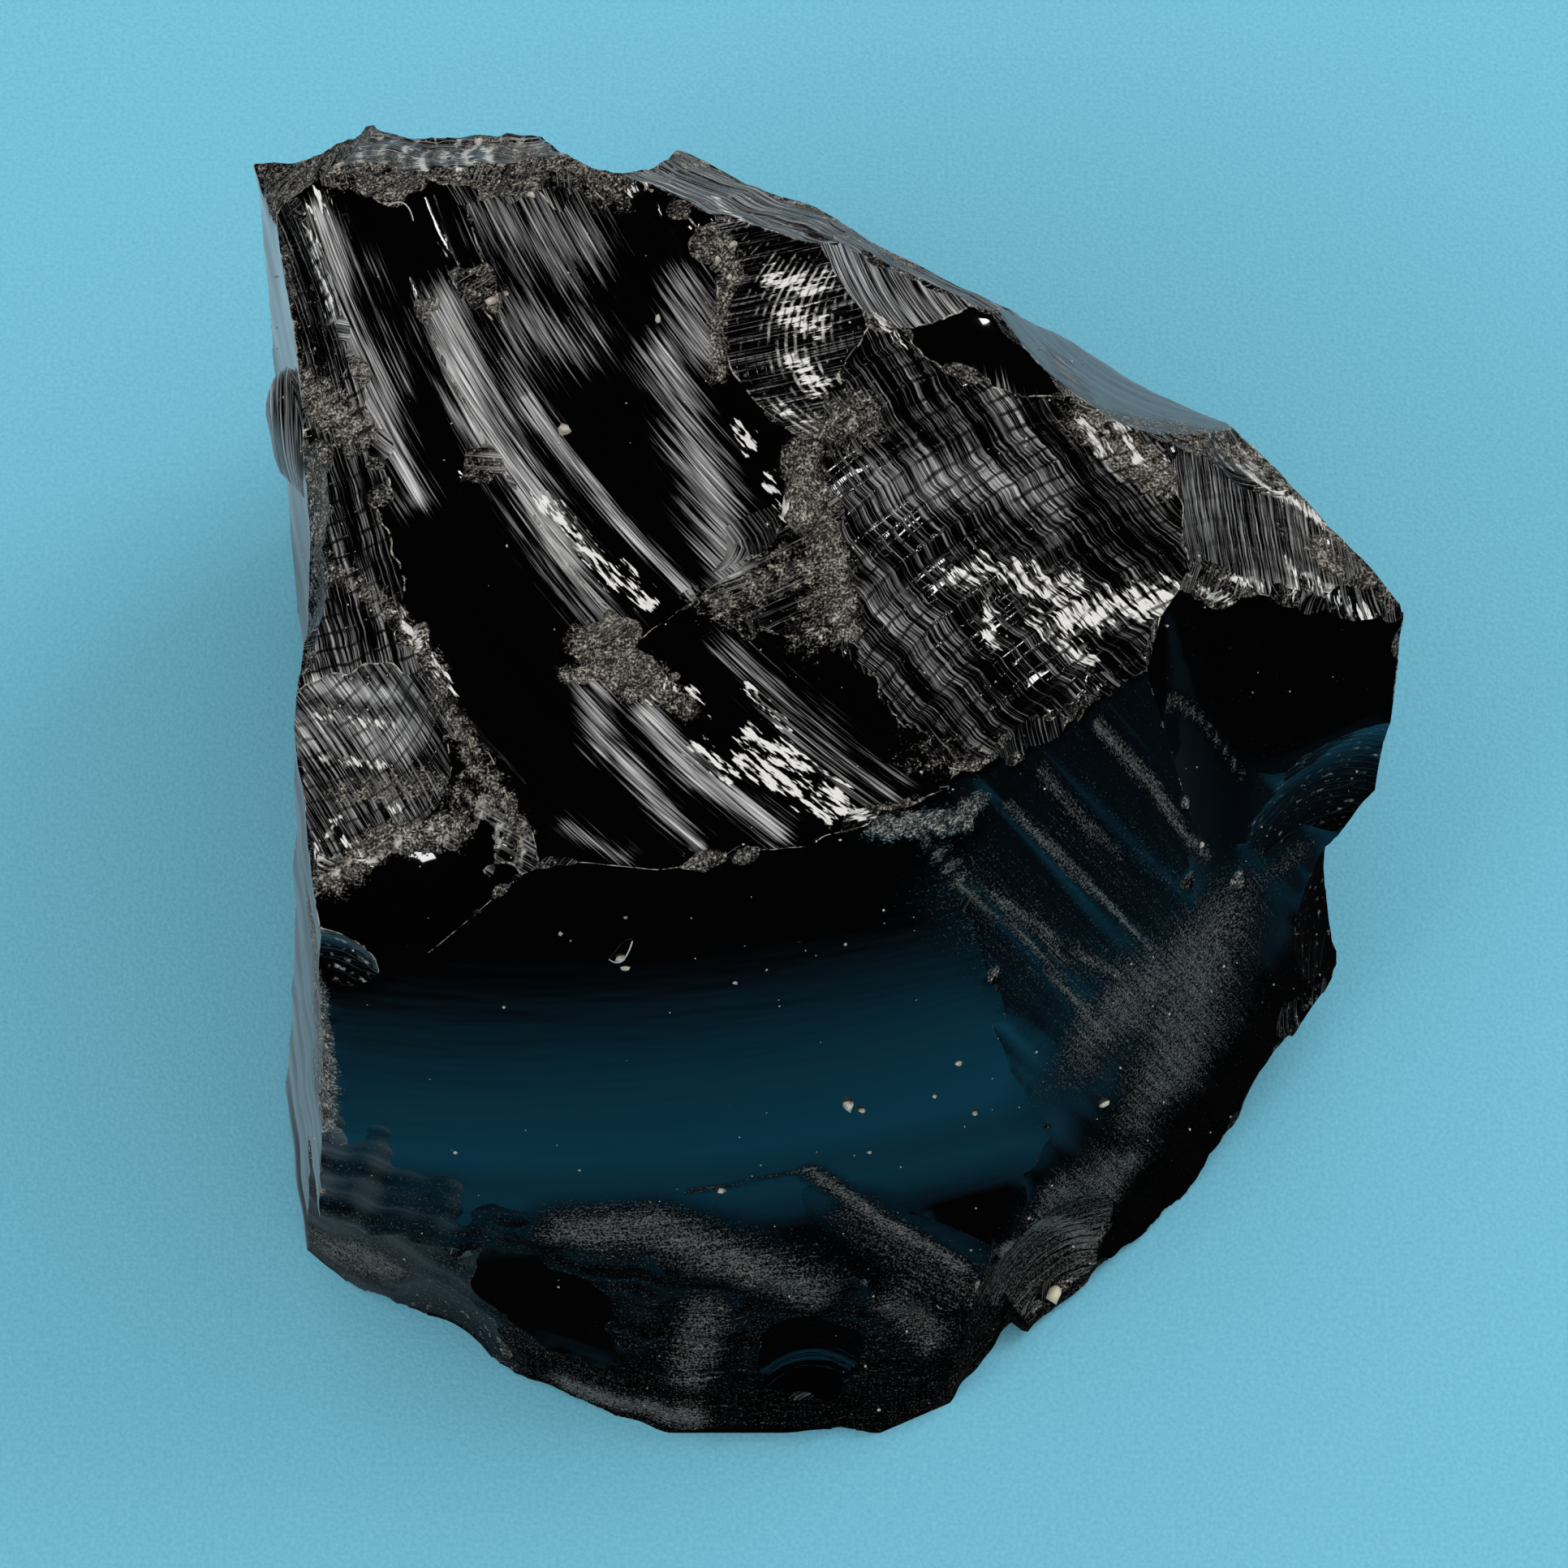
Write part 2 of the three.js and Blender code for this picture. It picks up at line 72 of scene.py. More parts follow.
# ---- Flake scars ----
# at, face, run, hollow, flute, rough, curl, size, seed: as in the solid (place, bearing and lift,
# turn of the crack, bowl radii, furrows, unevenness, sides that turned out, limits of the cutter).
# cell: spacing of the surface's grid.
# steps: (pitch, height, bend, axis) of the ledges or ripples that cross u or v, on arcs of that radius.
# look: how frosted with painted sheen, how much painted glint, how crushed and dusty the whole scar is, how
# dark its ledges, how pale its painted crest highlights.
SCARS = {
    "leftWall": dict(at=(-25.5, 0, 30), face=(180, 4), hollow=(0, 425), rough=(0.1, 15),
        curl=(("u-", -5, 104), ("u+", 2, 60)), cell=1, seed=1, steps=(7, 0.05, 30, "u"),
        look=(0.05, 0, 0.03, 0.1, 0, 0)),
    "leftFront": dict(at=(-25.5, -24.6, 22), face=(-170.4, 7.3), rough=(0.1, 9), cell=0.8, seed=29,
        steps=(3, 0.05, 20, "u"), look=(0.05, 0, 0.05, 0.1, 0, 0)),
    "backWall": dict(at=(-12.5, 28.5, 26.7), face=(91, 15), hollow=(0, 400), rough=(0.3, 17), cell=0.8,
        seed=2, steps=(3.4, 0.09, 24, "v"), look=(0.2, 0, 0.04, 0.12, 0.3, 0.1)),
    "rightBackWall": dict(at=(17, 18.4, 25.1), face=(60, 23), hollow=(-450, 0), rough=(0.3, 16), cell=0.8,
        seed=3, steps=(2.8, 0.08, 30, "v"), look=(0.18, 0, 0.04, 0.1, 0.25, 0.1)),
    "rightWall": dict(at=(29.3, -1.2, 27), face=(24, -5), rough=(0.2, 12), cell=0.8, seed=4,
        steps=(2.4, 0.07, 20, "v"), look=(0.2, 0, 0.06, 0.15, 0.3, 0.1)),
    "shoulderWall": dict(at=(27, 2.1, 40.1), face=(40, 18), rough=(0.12, 9), cell=0.8, seed=30,
        steps=(2.4, 0.07, 20, "v"), look=(0.2, 0, 0.06, 0.15, 0.3, 0.1)),
    "rightUnder": dict(at=(29.5, -9, 4), face=(-25, -25), cell=1, look=(0.1, 0, 0.1, 0.3, 0, 0)),
    "heel": dict(at=(-22.4, 28.4, 0), face=(130, -4), hollow=(200, 0), rough=(0.3, 13), cell=0.9, seed=26,
        steps=(2.6, 0.08, 20, "v"), look=(0.2, 0, 0.06, 0.15, 0.3, 0.1)),
    "underBack": dict(at=(8, 32, 1.5), face=(75, -38), hollow=(30, 30), cell=1, seed=27,
        look=(0.1, 0, 0.2, 0.3, 0, 0)),
    "underLeft": dict(at=(-29.2, 4, 1.2), face=(178, -40), hollow=(40, 30), cell=1, seed=28,
        look=(0.1, 0, 0.2, 0.3, 0, 0)),
    "backRimLeft": dict(at=(-18, 20.4, 46.2), face=(92, 46), hollow=(40, 60), rough=(0.18, 7), cell=0.3,
        seed=5, steps=(1.1, 0.16, 9, "u"), look=(0.55, 0.05, 0.3, 0.2, 0.45, 0.6)),
    "backRimMiddle": dict(at=(-4.5, 17.8, 47.2), face=(65, 42), hollow=(60, 60), rough=(0.15, 6), cell=0.3,
        seed=6, steps=(0.9, 0.1, 14, "v"), look=(0.6, 0.05, 0.28, 0.2, 0.5, 0.45)),
    "backRimDip": dict(at=(-9.3, 18.2, 47.9), face=(95, 22), hollow=(2.4, 0), size=(-5, 5, -26, 8),
        cell=0.35, look=(0.2, 0, 0.05, 0.12, 0.1, 0)),
    "backCorner": dict(at=(-26.3, 21.1, 40.4), face=(140, 38), hollow=(14, 14), rough=(0.15, 5), cell=0.35,
        seed=7, steps=(1, 0.1, 8, "v"), look=(0.3, 0, 0.5, 0.4, 0.3, 0.1)),
    "backRight": dict(at=(5.5, 15.2, 44.2), face=(56, 35), hollow=(40, 0), rough=(0.12, 6), cell=0.35,
        seed=8, steps=(0.9, 0.08, 12, "v"), look=(0.55, 0, 0.2, 0.1, 0.3, 0.1)),
    "backShoulder": dict(at=(18.5, 7.6, 41.5), face=(73, 37), hollow=(13.5, 0), cell=0.5, seed=9,
        steps=(2.1, 0.05, 14, "v"), look=(0.15, 0, 0, 0.03, 0, 0)),
    "shoulderNick": dict(at=(23.1, 4.8, 41), face=(50, 52), hollow=(6, 9), size=(-6, 6, -6, 6), cell=0.35,
        steps=(1.1, 0.08, 8, "v"), look=(0.3, 0.1, 0.35, 0.1, 0.5, 0.6)),
    "shoulder": dict(at=(22.6, -0.3, 42.1), face=(7, 62), hollow=(60, 26), cell=0.28, seed=10,
        steps=(1.3, 0.07, 7, "u"), look=(0.45, 0.05, 0.18, 0.1, 0.35, 0.25)),
    "topFlute": dict(at=(-12.3, -0.5, 45.7), face=(-122, 83.6), run=-23, hollow=(200, 36),
        flute=(5.5, 0.25, -72), cell=0.28, seed=1, look=(0.03, 0, 0, 0, 0, 0)),
    "topTrough": dict(at=(-8.2, 1.4, 45.3), face=(-122, 83.6), run=-19, hollow=(80, 17),
        flute=(4.1, 0.14, -72), size=(-22, 6.05, -9, 13), cell=0.28, seed=3, look=(0.03, 0, 0, 0, 0, 0)),
    "topFan": dict(at=(9.3, -2.3, 44.6), face=(10, 80), run=-60, hollow=(30, 30), flute=(3.6, 0.17, 40),
        cell=0.26, seed=2, steps=(0.85, 0.13, 30, "v"), look=(0.3, 0, 0.06, 0.05, 0.85, 0.12)),
    "topDrop": dict(at=(-1.7, 7.6, 47.9), face=(-80, 82), run=-177, hollow=(36, 14),
        size=(-12, 12, -12, 12), cell=0.22, seed=4, steps=(0.45, 0.09, 4.2, "u"),
        look=(0.3, 0, 0.05, 0.05, 0.8, 0.4)),
    "topLeaf": dict(at=(-1.6, -4.8, 46.1), face=(140, 76), run=152, hollow=(16, 9), size=(-9, 9, -8, 8),
        cell=0.3, seed=5, steps=(0.9, 0.07, 6, "u"), look=(0.3, 0, 0.25, 0.1, 0.5, 0.2)),
    "rimFacet": dict(at=(4.6, 11.6, 47), face=(30, 60), hollow=(9, 12), size=(-10, 10, -10, 10), cell=0.3,
        seed=6, steps=(1, 0.06, 9, "v"), look=(0.6, 0, 0.03, 0.05, 0.2, 0)),
    "rimDark": dict(at=(8.8, 10.6, 45.6), face=(5, 72), hollow=(14, 14), size=(-10, 10, -10, 10), cell=0.3,
        seed=7, look=(0.05, 0, 0.03, 0.03, 0, 0)),
    "leftStrip": dict(at=(-21.8, -2.4, 45.1), face=(-164, 68), hollow=(90, 40), rough=(0.12, 4), cell=0.28,
        seed=11, steps=(0.95, 0.12, 16, "u"), look=(0.38, 0, 0.1, 0.05, 0.9, 0.2)),
    "stripLow": dict(at=(-20.9, -11.6, 43.4), face=(-148, 66), hollow=(16, 12), size=(-12, 12, -12, 12),
        cell=0.28, steps=(0.8, 0.08, 9, "u"), look=(0.45, 0, 0.05, 0.05, 0.7, 0.2)),
    "stripHigh": dict(at=(-24.6, 8, 45.4), face=(-165, 62), hollow=(26, 8), size=(-12, 12, -9, 9), cell=0.3,
        steps=(0.9, 0.1, 12, "u"), look=(0.3, 0, 0.25, 0.1, 0.7, 0.2)),
    "corner": dict(at=(-20.5, -14.2, 44), face=(-118, 63), hollow=(22, 22), rough=(0.15, 3.4),
        size=(-14, 14, -14, 14), cell=0.28, seed=14, steps=(1.3, 0.14, 4, "u"),
        look=(0.45, 0.15, 0.12, 0.05, 0.6, 0.6)),
    "front": dict(at=(-4, -22.8, 33), face=(-83, 18.5), hollow=(-80, -150), curl=(("v-", 12.5, 16),),
        cell=0.5, seed=15, look=(0, 0, 0, 0.03, 0, 0)),
    "frontRoll": dict(at=(-21.5, -19.65, 40.5), face=(-90, 40.6), hollow=(9, -10.1), size=(-5, 10, -3.6, 9),
        cell=0.36, look=(0, 0, 0, 0.03, 0, 0)),
    "frontRight": dict(at=(16.6, -16.7, 25), face=(-46.4, 17.5), run=-75, hollow=(-340, 0),
        flute=(3.9, 0.16, 0), curl=(("v+", 9.5, 9),), cell=0.36, seed=16, look=(0.05, 0, 0, 0.22, 0, 0)),
    "rightBlack": dict(at=(26.2, -5, 35.2), face=(-70, 25), hollow=(0, -90),
        curl=(("u-", 5, 3), ("v-", 14, 5)), cell=0.4, seed=17, look=(0, 0, 0, 0.12, 0, 0)),
    "toe": dict(at=(-4, -31.2, 9.5), face=(-89, 22), hollow=(-75, 60), rough=(0.25, 6), cell=0.38, seed=18,
        look=(0.05, 0, 0.04, 0.34, 0.2, 0)),
    "toeLeft": dict(at=(-16.4, -31.6, 1), face=(-114, 10), hollow=(-52, 0), rough=(0.15, 7),
        size=(-30, 30, -20, 13), cell=0.4, seed=19, look=(0.05, 0, 0.1, 0.4, 0.2, 0)),
    "toeChip": dict(at=(-20, -28.3, 1), face=(-114, 14), hollow=(5.5, 12), size=(-7, 7, -7, 7), cell=0.3,
        steps=(0.8, 0.06, 5, "v"), look=(0.1, 0, 0.3, 0.3, 0.3, 0)),
    "toeNose": dict(at=(6.5, -33.9, 1), face=(-66.5, 8), cell=0.45, look=(0.05, 0, 0.1, 0.4, 0.1, 0)),
    "toeCorner": dict(at=(9.9, -30.8, 1), face=(-37, 8), rough=(0.15, 5), size=(-48, 2.9, -48, 48),
        cell=0.4, seed=20, look=(0.1, 0, 0.12, 0.4, 0.2, 0)),
    "toeRight": dict(at=(17.6, -25.3, 1), face=(-52.4, 8), rough=(0.2, 6), size=(-8.5, 40, -48, 48),
        cell=0.4, seed=21, look=(0.05, 0, 0.1, 0.45, 0.2, 0)),
    "rightLow": dict(at=(27.6, -13.9, 4), face=(-38, 6), rough=(0.2, 6), cell=0.4, seed=22,
        look=(0.05, 0, 0.1, 0.48, 0.1, 0)),
    "notch": dict(at=(27.5, -8, 14.5), face=(-14, 6), hollow=(12, 16), size=(-12, 12, -12, 12), cell=0.34,
        seed=23, steps=(0.9, 0.05, 6, "v"), look=(0.1, 0, 0, 0.1, 0.3, 0.4)),
    "notchShell": dict(at=(26.4, -7, 26.8), face=(-58, 15), hollow=(12, 12), size=(-8, 8, -8, 8), cell=0.28,
        steps=(0.62, 0.07, 5, "v"), look=(0.1, 0, 0, 0.1, 0.3, 0.4)),
    "halfRound": dict(at=(-23.7, -20, 38.8), face=(-97, 20), hollow=(7, 4.5), size=(-6, 6, -6, 6),
        cell=0.28, steps=(0.7, 0.05, 4, "v"), look=(0.1, 0, 0, 0.1, 0.4, 0.45)),
    "toeBlack": dict(at=(-14.5, -30.1, 8.5), face=(-102, 22), hollow=(26, 16), size=(-20, 20, -16, 16),
        cell=0.4, look=(0.02, 0, 0, 0.1, 0, 0)),
    "toeWedge": dict(at=(2.3, -27.2, 15.7), face=(-74, 27.5), run=-45, hollow=(60, 7),
        size=(-12, 12, -8, 8), cell=0.34, look=(0.05, 0, 0.04, 0.25, 0, 0)),
    "toeHollow": dict(at=(0.1, -31.2, 7.4), face=(-85, 18), hollow=(6, 7), size=(-9, 9, -9, 9), cell=0.3,
        steps=(0.9, 0.05, 5, "v"), look=(0.05, 0, 0.02, 0.12, 0.2, 0)),
    "toeRound": dict(at=(14, -25.4, 4.4), face=(-58, 24), hollow=(8, 8), size=(-9, 9, -9, 9), cell=0.28,
        steps=(0.6, 0.12, 5, "v"), look=(0.3, 0, 0.12, 0.55, 1, 0)),
}
# The flat underside, and the faces of the block that no scar has taken off.
BASE = dict(at=(0, 0, 0), face=(0, -90), look=(0.1, 0, 0.1, 0.3, 0, 0))

# ---- Ridges that have crumbled: the two faces that meet, the two ends, how many chips, chip width ----
RIDGES = (
    ("topFlute", "front", (-12.5, -18.4, 45.5), (3.5, -16.6, 46.5), 4, 0.7),
    ("topFan", "frontRight", (6.5, -15, 46.5), (17, -5.5, 44.8), 5, 1),
    ("shoulder", "rightBlack", (19.5, -4, 44), (29, -2.8, 38), 5, 1.3),
    ("backRimLeft", "backWall", (-24, 24, 40), (-13, 24, 41), 6, 2.2),
    ("backRimMiddle", "backWall", (-8.5, 23, 42), (-3, 22, 42), 3, 2),
    ("topFlute", "backRimLeft", (-23, 17.5, 48.5), (-12, 18, 50), 5, 1.6),
    ("backRight", "topFan", (7, 13, 45.5), (11, 10.5, 45), 3, 1.6),
    ("backShoulder", "shoulder", (19, 6.5, 42), (24, 4.5, 40.5), 4, 1.6),
    ("shoulder", "rightWall", (27, 3, 39.5), (30, -1.5, 38), 3, 1.6),
    ("leftWall", "leftStrip", (-25, 3, 44.3), (-24.7, -6, 43.3), 4, 1.6),
    ("leftFront", "front", (-24.1, -23, 32), (-27, -26, 12), 6, 1.2),
    ("frontRight", "rightWall", (29.6, -5, 30), (29.6, -7, 25), 2, 1.8),
    ("rightLow", "frontRight", (28.5, -11.5, 9), (25, -16, 3), 4, 1.6),
    ("toeLeft", "base", (-25.5, -25.5, 0), (-11, -34, 0), 6, 2.2),
    ("toe", "base", (-5, -35, 0), (5, -35, 0), 4, 2),
    ("toeRight", "base", (13, -27.5, 0), (21, -21.8, 0), 4, 1.9),
)

# ---- Lumps left standing, four crushed ones on top and a brushed plate on the left wall: centre, half sizes,
# how frosted (frosting with painted sheen), how crushed ----
LUMPS = (
    ((-9.4, -6.2, 45), (1.8, 1.3, 0.9), 0.2, 0.8),
    ((-8.2, -7.5, 44.9), (1.5, 1.5, 0.9), 0.2, 0.8),
    ((-6.8, -8.3, 45), (1.3, 0.9, 0.8), 0.2, 0.8),
    ((-0.2, 0.3, 46.9), (1.1, 1.6, 1), 0.2, 0.8),
    ((-27.6, 18.3, 19.5), (2.6, 4.2, 6.5), 0.62, 0),
)

# ---- Marks on the upward scars, each a line: half width, strength, then its places as x, y, x, y ... ----
STROKES, PAINTED_GLINT_MARKS, CRUSH, DUST = 0, 1, 2, 3
TOP_MARKS = {
    # Stroke marks: frosting with painted sheen.
    STROKES: (
        (0.9, 0.8, -24.5, 16, -23.2, 11.2, -21.2, 6.1, -19.5, 1.2), (0.9, 0.35, -22.2, 13.6, -20.1, 7.5),
        (1.2, 0.85, -18.3, 11.3, -17.1, 7.8, -15.3, 4.5, -13.4, 1.1, -11.8, -2.1),
        (0.9, 0.5, -15.4, 11.3, -14.4, 7.5, -13.3, 5.5),
        (0.35, 0.9, -14, 6.7, -11.9, 3.6, -9.4, 0.3, -5.7, -3.7), (1.1, 0.7, -12.2, -2.1, -9.7, -5.4),
        (1.1, 0.7, -6, 11.4, -5.3, 8.5),
        (1.2, 0.8, -7.2, 8.5, -6.3, 5.8, -5.3, 3.1, -4.4, 0.1, -3.7, -2.5),
        (2.2, 0.6, -15.3, 16, -12, 13.9), (1.8, 0.55, -14.8, 10.4, -11.9, 9.6),
        (0.9, 0.75, -10.4, -9, -9.8, -12), (0.5, 0.8, -9.3, -12.1, -7.4, -15, -5.2, -17.2),
        (0.6, 0.6, -11.5, -16.3, -8.9, -17.8),
        (0.7, 0.85, -7.8, -10.2, -5.3, -13.7, -2.5, -15.6, -1.3, -16.5),
        (1, 0.55, -3.7, -7, -0.9, -10.1, 1.4, -12.8, 3.7, -14.7),
        (1.3, 0.6, 3.2, -4.2, 5.4, -6.7, 6.8, -8.4), (1.5, 0.45, 2.9, -2.5, 6.2, -5.2),
        (2, 0.65, 2.7, 1, 7.6, 2.6, 12.1, 2.5), (1.2, 0.6, 9.4, 6.8, 12.1, 2.5, 12.4, 0.3),
        (1.6, 0.8, -24.3, -10.2, -19.6, -11), (0.6, 0.9, -24.2, -8, -20.6, -8.9),
        (1, 0.5, 23.4, 2.6, 25.8, 0.2), (0.8, 0.6, 13, 11.2, 14.2, 6.7),
    ),
    # Glint marks: painted white glints where light would catch.
    PAINTED_GLINT_MARKS: (
        (0.35, 0.85, -24.2, -9.4, -20, -10.3), (0.3, 0.8, -23.8, -11.4, -20.4, -12.2),
        (0.3, 0.9, -25.2, 16.4, -24.6, 13.5, -23.9, 10.8), (0.7, 0.95, -13.1, 1.5, -11.8, -0.3),
        (0.6, 0.95, -11.8, -0.4, -10.3, -1.9, -9.4, -3.3), (0.7, 1, -9.2, -2.4, -7.9, -4.2),
        (0.7, 0.95, -5.3, -12, -3.7, -13.5), (0.8, 1, -2.9, -11.7, -0.2, -13.3),
        (0.8, 1, -3.1, -12.9, -0.2, -14.4, 1.5, -15), (0.5, 0.95, -0.2, -15.2, 1.1, -16),
        (0.4, 0.95, 1.4, -15.7, 3.5, -16.3), (0.35, 0.9, -7.7, -9.5, -6.8, -8.6, -5.7, -9.2, -4.8, -10.5),
        (0.35, 0.9, -2.9, -9, -0.9, -11.5), (0.45, 1, -3.4, 4.9, -2.8, 3.5),
        (0.35, 1, -1.9, 2.1, -1.1, -0.1), (1.2, 1, 7.7, -2.5, 10.3, -2.3, 13, -2.9),
        (0.5, 0.9, 9, -3.9, 9.1, -6.8), (1.3, 1, 12.1, -4.9, 14.7, -4.3, 18, -3.6),
        (0.9, 0.9, 12.7, -6.4, 14, -7.1), (0.3, 1, 3.6, 10.3, 4.8, 8.6), (0.8, 1, -1.5, 11.7, 0.6, 11.5),
        (0.8, 1, -1.1, 10, 0.7, 9.6), (0.8, 0.9, -0.7, 7.9, 0.5, 6.6), (0.5, 0.9, -1.3, 5.3, -0.1, 4.4),
        (0.5, 1, 13.9, 5.9, 14.9, 4.5), (0.4, 1, 15.5, 6.1, 16.4, 4.4), (0.6, 0.8, 16.5, 4.1, 18, 3.6),
        (0.3, 1, 22.5, 5.6, 23.1, 4.2), (0.4, 1, 23.6, 3.9, 25.5, 3.1, 26.5, 2.3),
        (0.35, 0.9, 19.7, -2.6, 21.2, -2.8), (0.35, 1, 21.4, -1.8, 22.9, -1.9),
        (0.3, 0.9, 24.5, 0, 24.7, -2.2), (0.6, 0.8, 25.3, -1, 28.8, -2.1),
        (0.4, 0.7, -18.9, -6.1, -17.2, -9.2), (0.45, 0.9, -19.9, -5.3, -18, -8.4),
        (0.3, 0.9, -22.9, -14.5, -24.1, -16.4), (0.3, 0.9, -22.6, -15.8, -21.3, -17.1),
        (0.3, 0.8, -20.4, -13.9, -19.3, -15.9), (0.4, 1, -24.8, 17.4, -24.3, 16.4),
        (0.4, 0.9, -20.2, 21.5, -19.5, 19), (0.3, 0.9, -18.4, 21.1, -17.6, 18.7),
        (0.3, 0.9, -17.8, 22.3, -16.8, 19.2), (0.3, 0.9, -16.9, 22.7, -16, 19.7),
        (0.35, 0.9, -8.9, 16.1, -7.8, 16.4), (0.3, 0.9, -4.6, 17, -3.2, 14.2),
        (0.35, 0.9, -26.4, 8.6, -26, 6.6),
    ),
    CRUSH: (
        (1, 0.9, -10.7, -6.4, -9.5, -7.7, -8.1, -8.5), (0.5, 0.8, -11.7, -8.1, -10.1, -8),
        (0.7, 0.6, -7.7, -8.8, -5.7, -9.9), (1.5, 0.5, -4.1, -4.6, -1.3, -2.7, 1.1, -3.5, 0.2, -6.5),
        (0.9, 0.85, -0.1, 2.7, 0.5, -0.7, 1.4, -3.1, 1.8, -6.4), (1.4, 0.6, 0.7, 3.9, 2.7, 5.1),
        (0.6, 0.8, -4.2, 13.1, -3.6, 11.9), (0.5, 0.7, -3.8, 11.8, -4.4, 9.5, -4.4, 7.2),
        (0.5, 0.9, 3.7, -16.1, 5, -15.8), (0.5, 0.9, 7.4, -14, 8.1, -14),
        (1.6, 0.35, 5.3, -13.2, 8.8, -13),
        (1.2, 0.6, -26.6, 20.4, -23.6, 18.9, -20.4, 20, -16.5, 22.4, -12, 18.4, -9.5, 16.6),
        (1.2, 0.6, -6.8, 21.1, -3.9, 20.8, 1, 18.5, 5, 15.5), (0.7, 0.6, -26.6, 14.5, -26.3, 8.4),
        (1, 0.8, -25.7, 8.1, -22.4, 4.7), (0.8, 0.5, -24.5, -1.4, -21, -4.1, -18, -8.2),
        (0.7, 0.6, -18, -9.1, -15.9, -13.1, -13.8, -16.7),
        (0.9, 0.5, -22.8, -13.4, -18.8, -13.2, -15.5, -15),
        (0.9, 0.7, -23.1, -17.6, -20.7, -15.8, -17.1, -15.9), (1.6, 0.6, 14.2, 5.9, 18.7, 6.9, 23.4, 5.7),
        (1, 0.9, 15.8, 4.6, 17.7, 2.8), (1.3, 0.6, 24, 5, 27.5, 2.2, 29.8, -0.4),
        (0.6, 0.9, 25.9, 1.1, 26.7, 0), (0.6, 0.8, -0.7, 2.8, -0.3, 0.4),
    ),
}

# ---- Marks on the steep scars at the front, the same with x, z, x, z ... ----
FRONT_MARKS = {
    CRUSH: (
        (0.6, 0.9, -24.6, 37, -24.5, 33, -24.6, 28, -25.2, 24), (0.8, 0.8, 3.7, 45.8, 6.2, 45.4, 8, 44.8),
    ),
    DUST: (
        (0.6, 0.7, 0.2, 20.4, 4.2, 15.1, 8.6, 11), (1.8, 0.5, 2.6, 16.4, 6.8, 11.4, 9.6, 9.4),
        (0.25, 0.5, -6, 19.9, 0.2, 20.6), (2, 0.6, -6.3, 5.4, -5.3, 10.5),
        (2.2, 0.65, -27.1, 2.3, -23.1, 6.1), (2.2, 0.64, -12.6, 17.2, -8.2, 17.4, 0.4, 12),
        (1.8, 0.6, 7.1, 6.9, 4.8, 10.2), (4.5, 0.64, 16.7, 22.8, 21.2, 21.1, 20.4, 13.1),
        (2.6, 0.62, 13.7, 12, 17.6, 8.4), (1.6, 0.5, 24.8, 22.4, 26.6, 22.3),
        (0.25, 0.75, 5.3, 45.3, 8.2, 39.6, 11.4, 33.4, 14.9, 24.1),
        (0.18, 0.6, 6.6, 43.9, 10.4, 36.6, 13.9, 29.4), (0.18, 0.65, 8.3, 41.2, 12.4, 33.1, 16.8, 24.6),
        (0.25, 0.75, 9.7, 44, 12.4, 38.3, 15.1, 32.4, 19.8, 22.1),
        (0.18, 0.6, 11.4, 43.8, 14.4, 37.2, 16.2, 33.4), (0.22, 0.7, 14.2, 43.8, 17.4, 36.9, 21.3, 27.1),
        (0.2, 0.65, 18.1, 40.5, 22.7, 31.6), (2.6, 0.38, 7.6, 41, 12, 32, 17, 24),
        (2, 0.34, 13, 40, 16.5, 33, 20, 26), (1, 0.8, 11, 11.2, 16, 3.6), (1.6, 0.72, -13.2, 2, -6.4, 2),
    ),
}

# ---- Bits lying on the chunk: crumbs of glass dust (place, size), a grain of sand, two fibres of lint ----
CRUMBS = (
    ((2.2, -24, 26), 0.42), ((2.9, -24.08, 25.35), 0.2), ((7.9, -22.2, 27.4), 0.17),
    ((6.7, -23.2, 25), 0.13), ((8.9, -23.3, 22.5), 0.2), ((16.2, -20.9, 16.5), 0.26),
    ((-3.5, -21.2, 37.2), 0.17), ((-8.8, -19.7, 42.4), 0.13), ((-9.1, -20.8, 39.7), 0.3),
    ((-8.9, -21.1, 38.9), 0.22), ((-15.8, 11.7, 46.9), 0.3), ((-15.1, 12.1, 46.92), 0.16),
    ((-13.8, 16.6, 48.9), 0.22), ((-4.4, 12.4, 49.8), 0.26), ((-3.8, 11.7, 49.34), 0.2),
    ((-7.4, 10.3, 47.6), 0.26), ((-12.1, 5, 45.8), 0.4), ((-12, -20.2, 41.5), 0.12),
    ((-15, -22.2, 36.3), 0.12), ((-18.2, -25.9, 23.9), 0.14), ((20.7, -10.7, 28.9), 0.2),
    ((-3.6, 13.2, 50), 0.24), ((3.4, -25, 21.1), 0.14), ((-4.4, -26.7, 19.8), 0.2),
)
SAND_PLACE, SAND_SIZE, FIBRE_RADIUS = (14.2, -27.5, 2.3), 0.72, 0.035
FIBRES = (
    ((-21.1, 16.5, 47.98), (-20.1, 17.0, 48.38), (-19.8, 15.7, 47.88)),
    ((-9.9, -20.6, 39.4), (-9, -21.9, 40.2), (-8.5, -20.4, 40.9)),
)


# ---------------------------------------------------------------- shapes

def scatter(index):
    """Repeatable spread from 0 to 1: the fraction left by a large multiple of a sine."""
    wave = np.sin(np.asarray(index, float) * 12.9898 + 4.1414) * 43758.5453
    return wave - np.floor(wave)


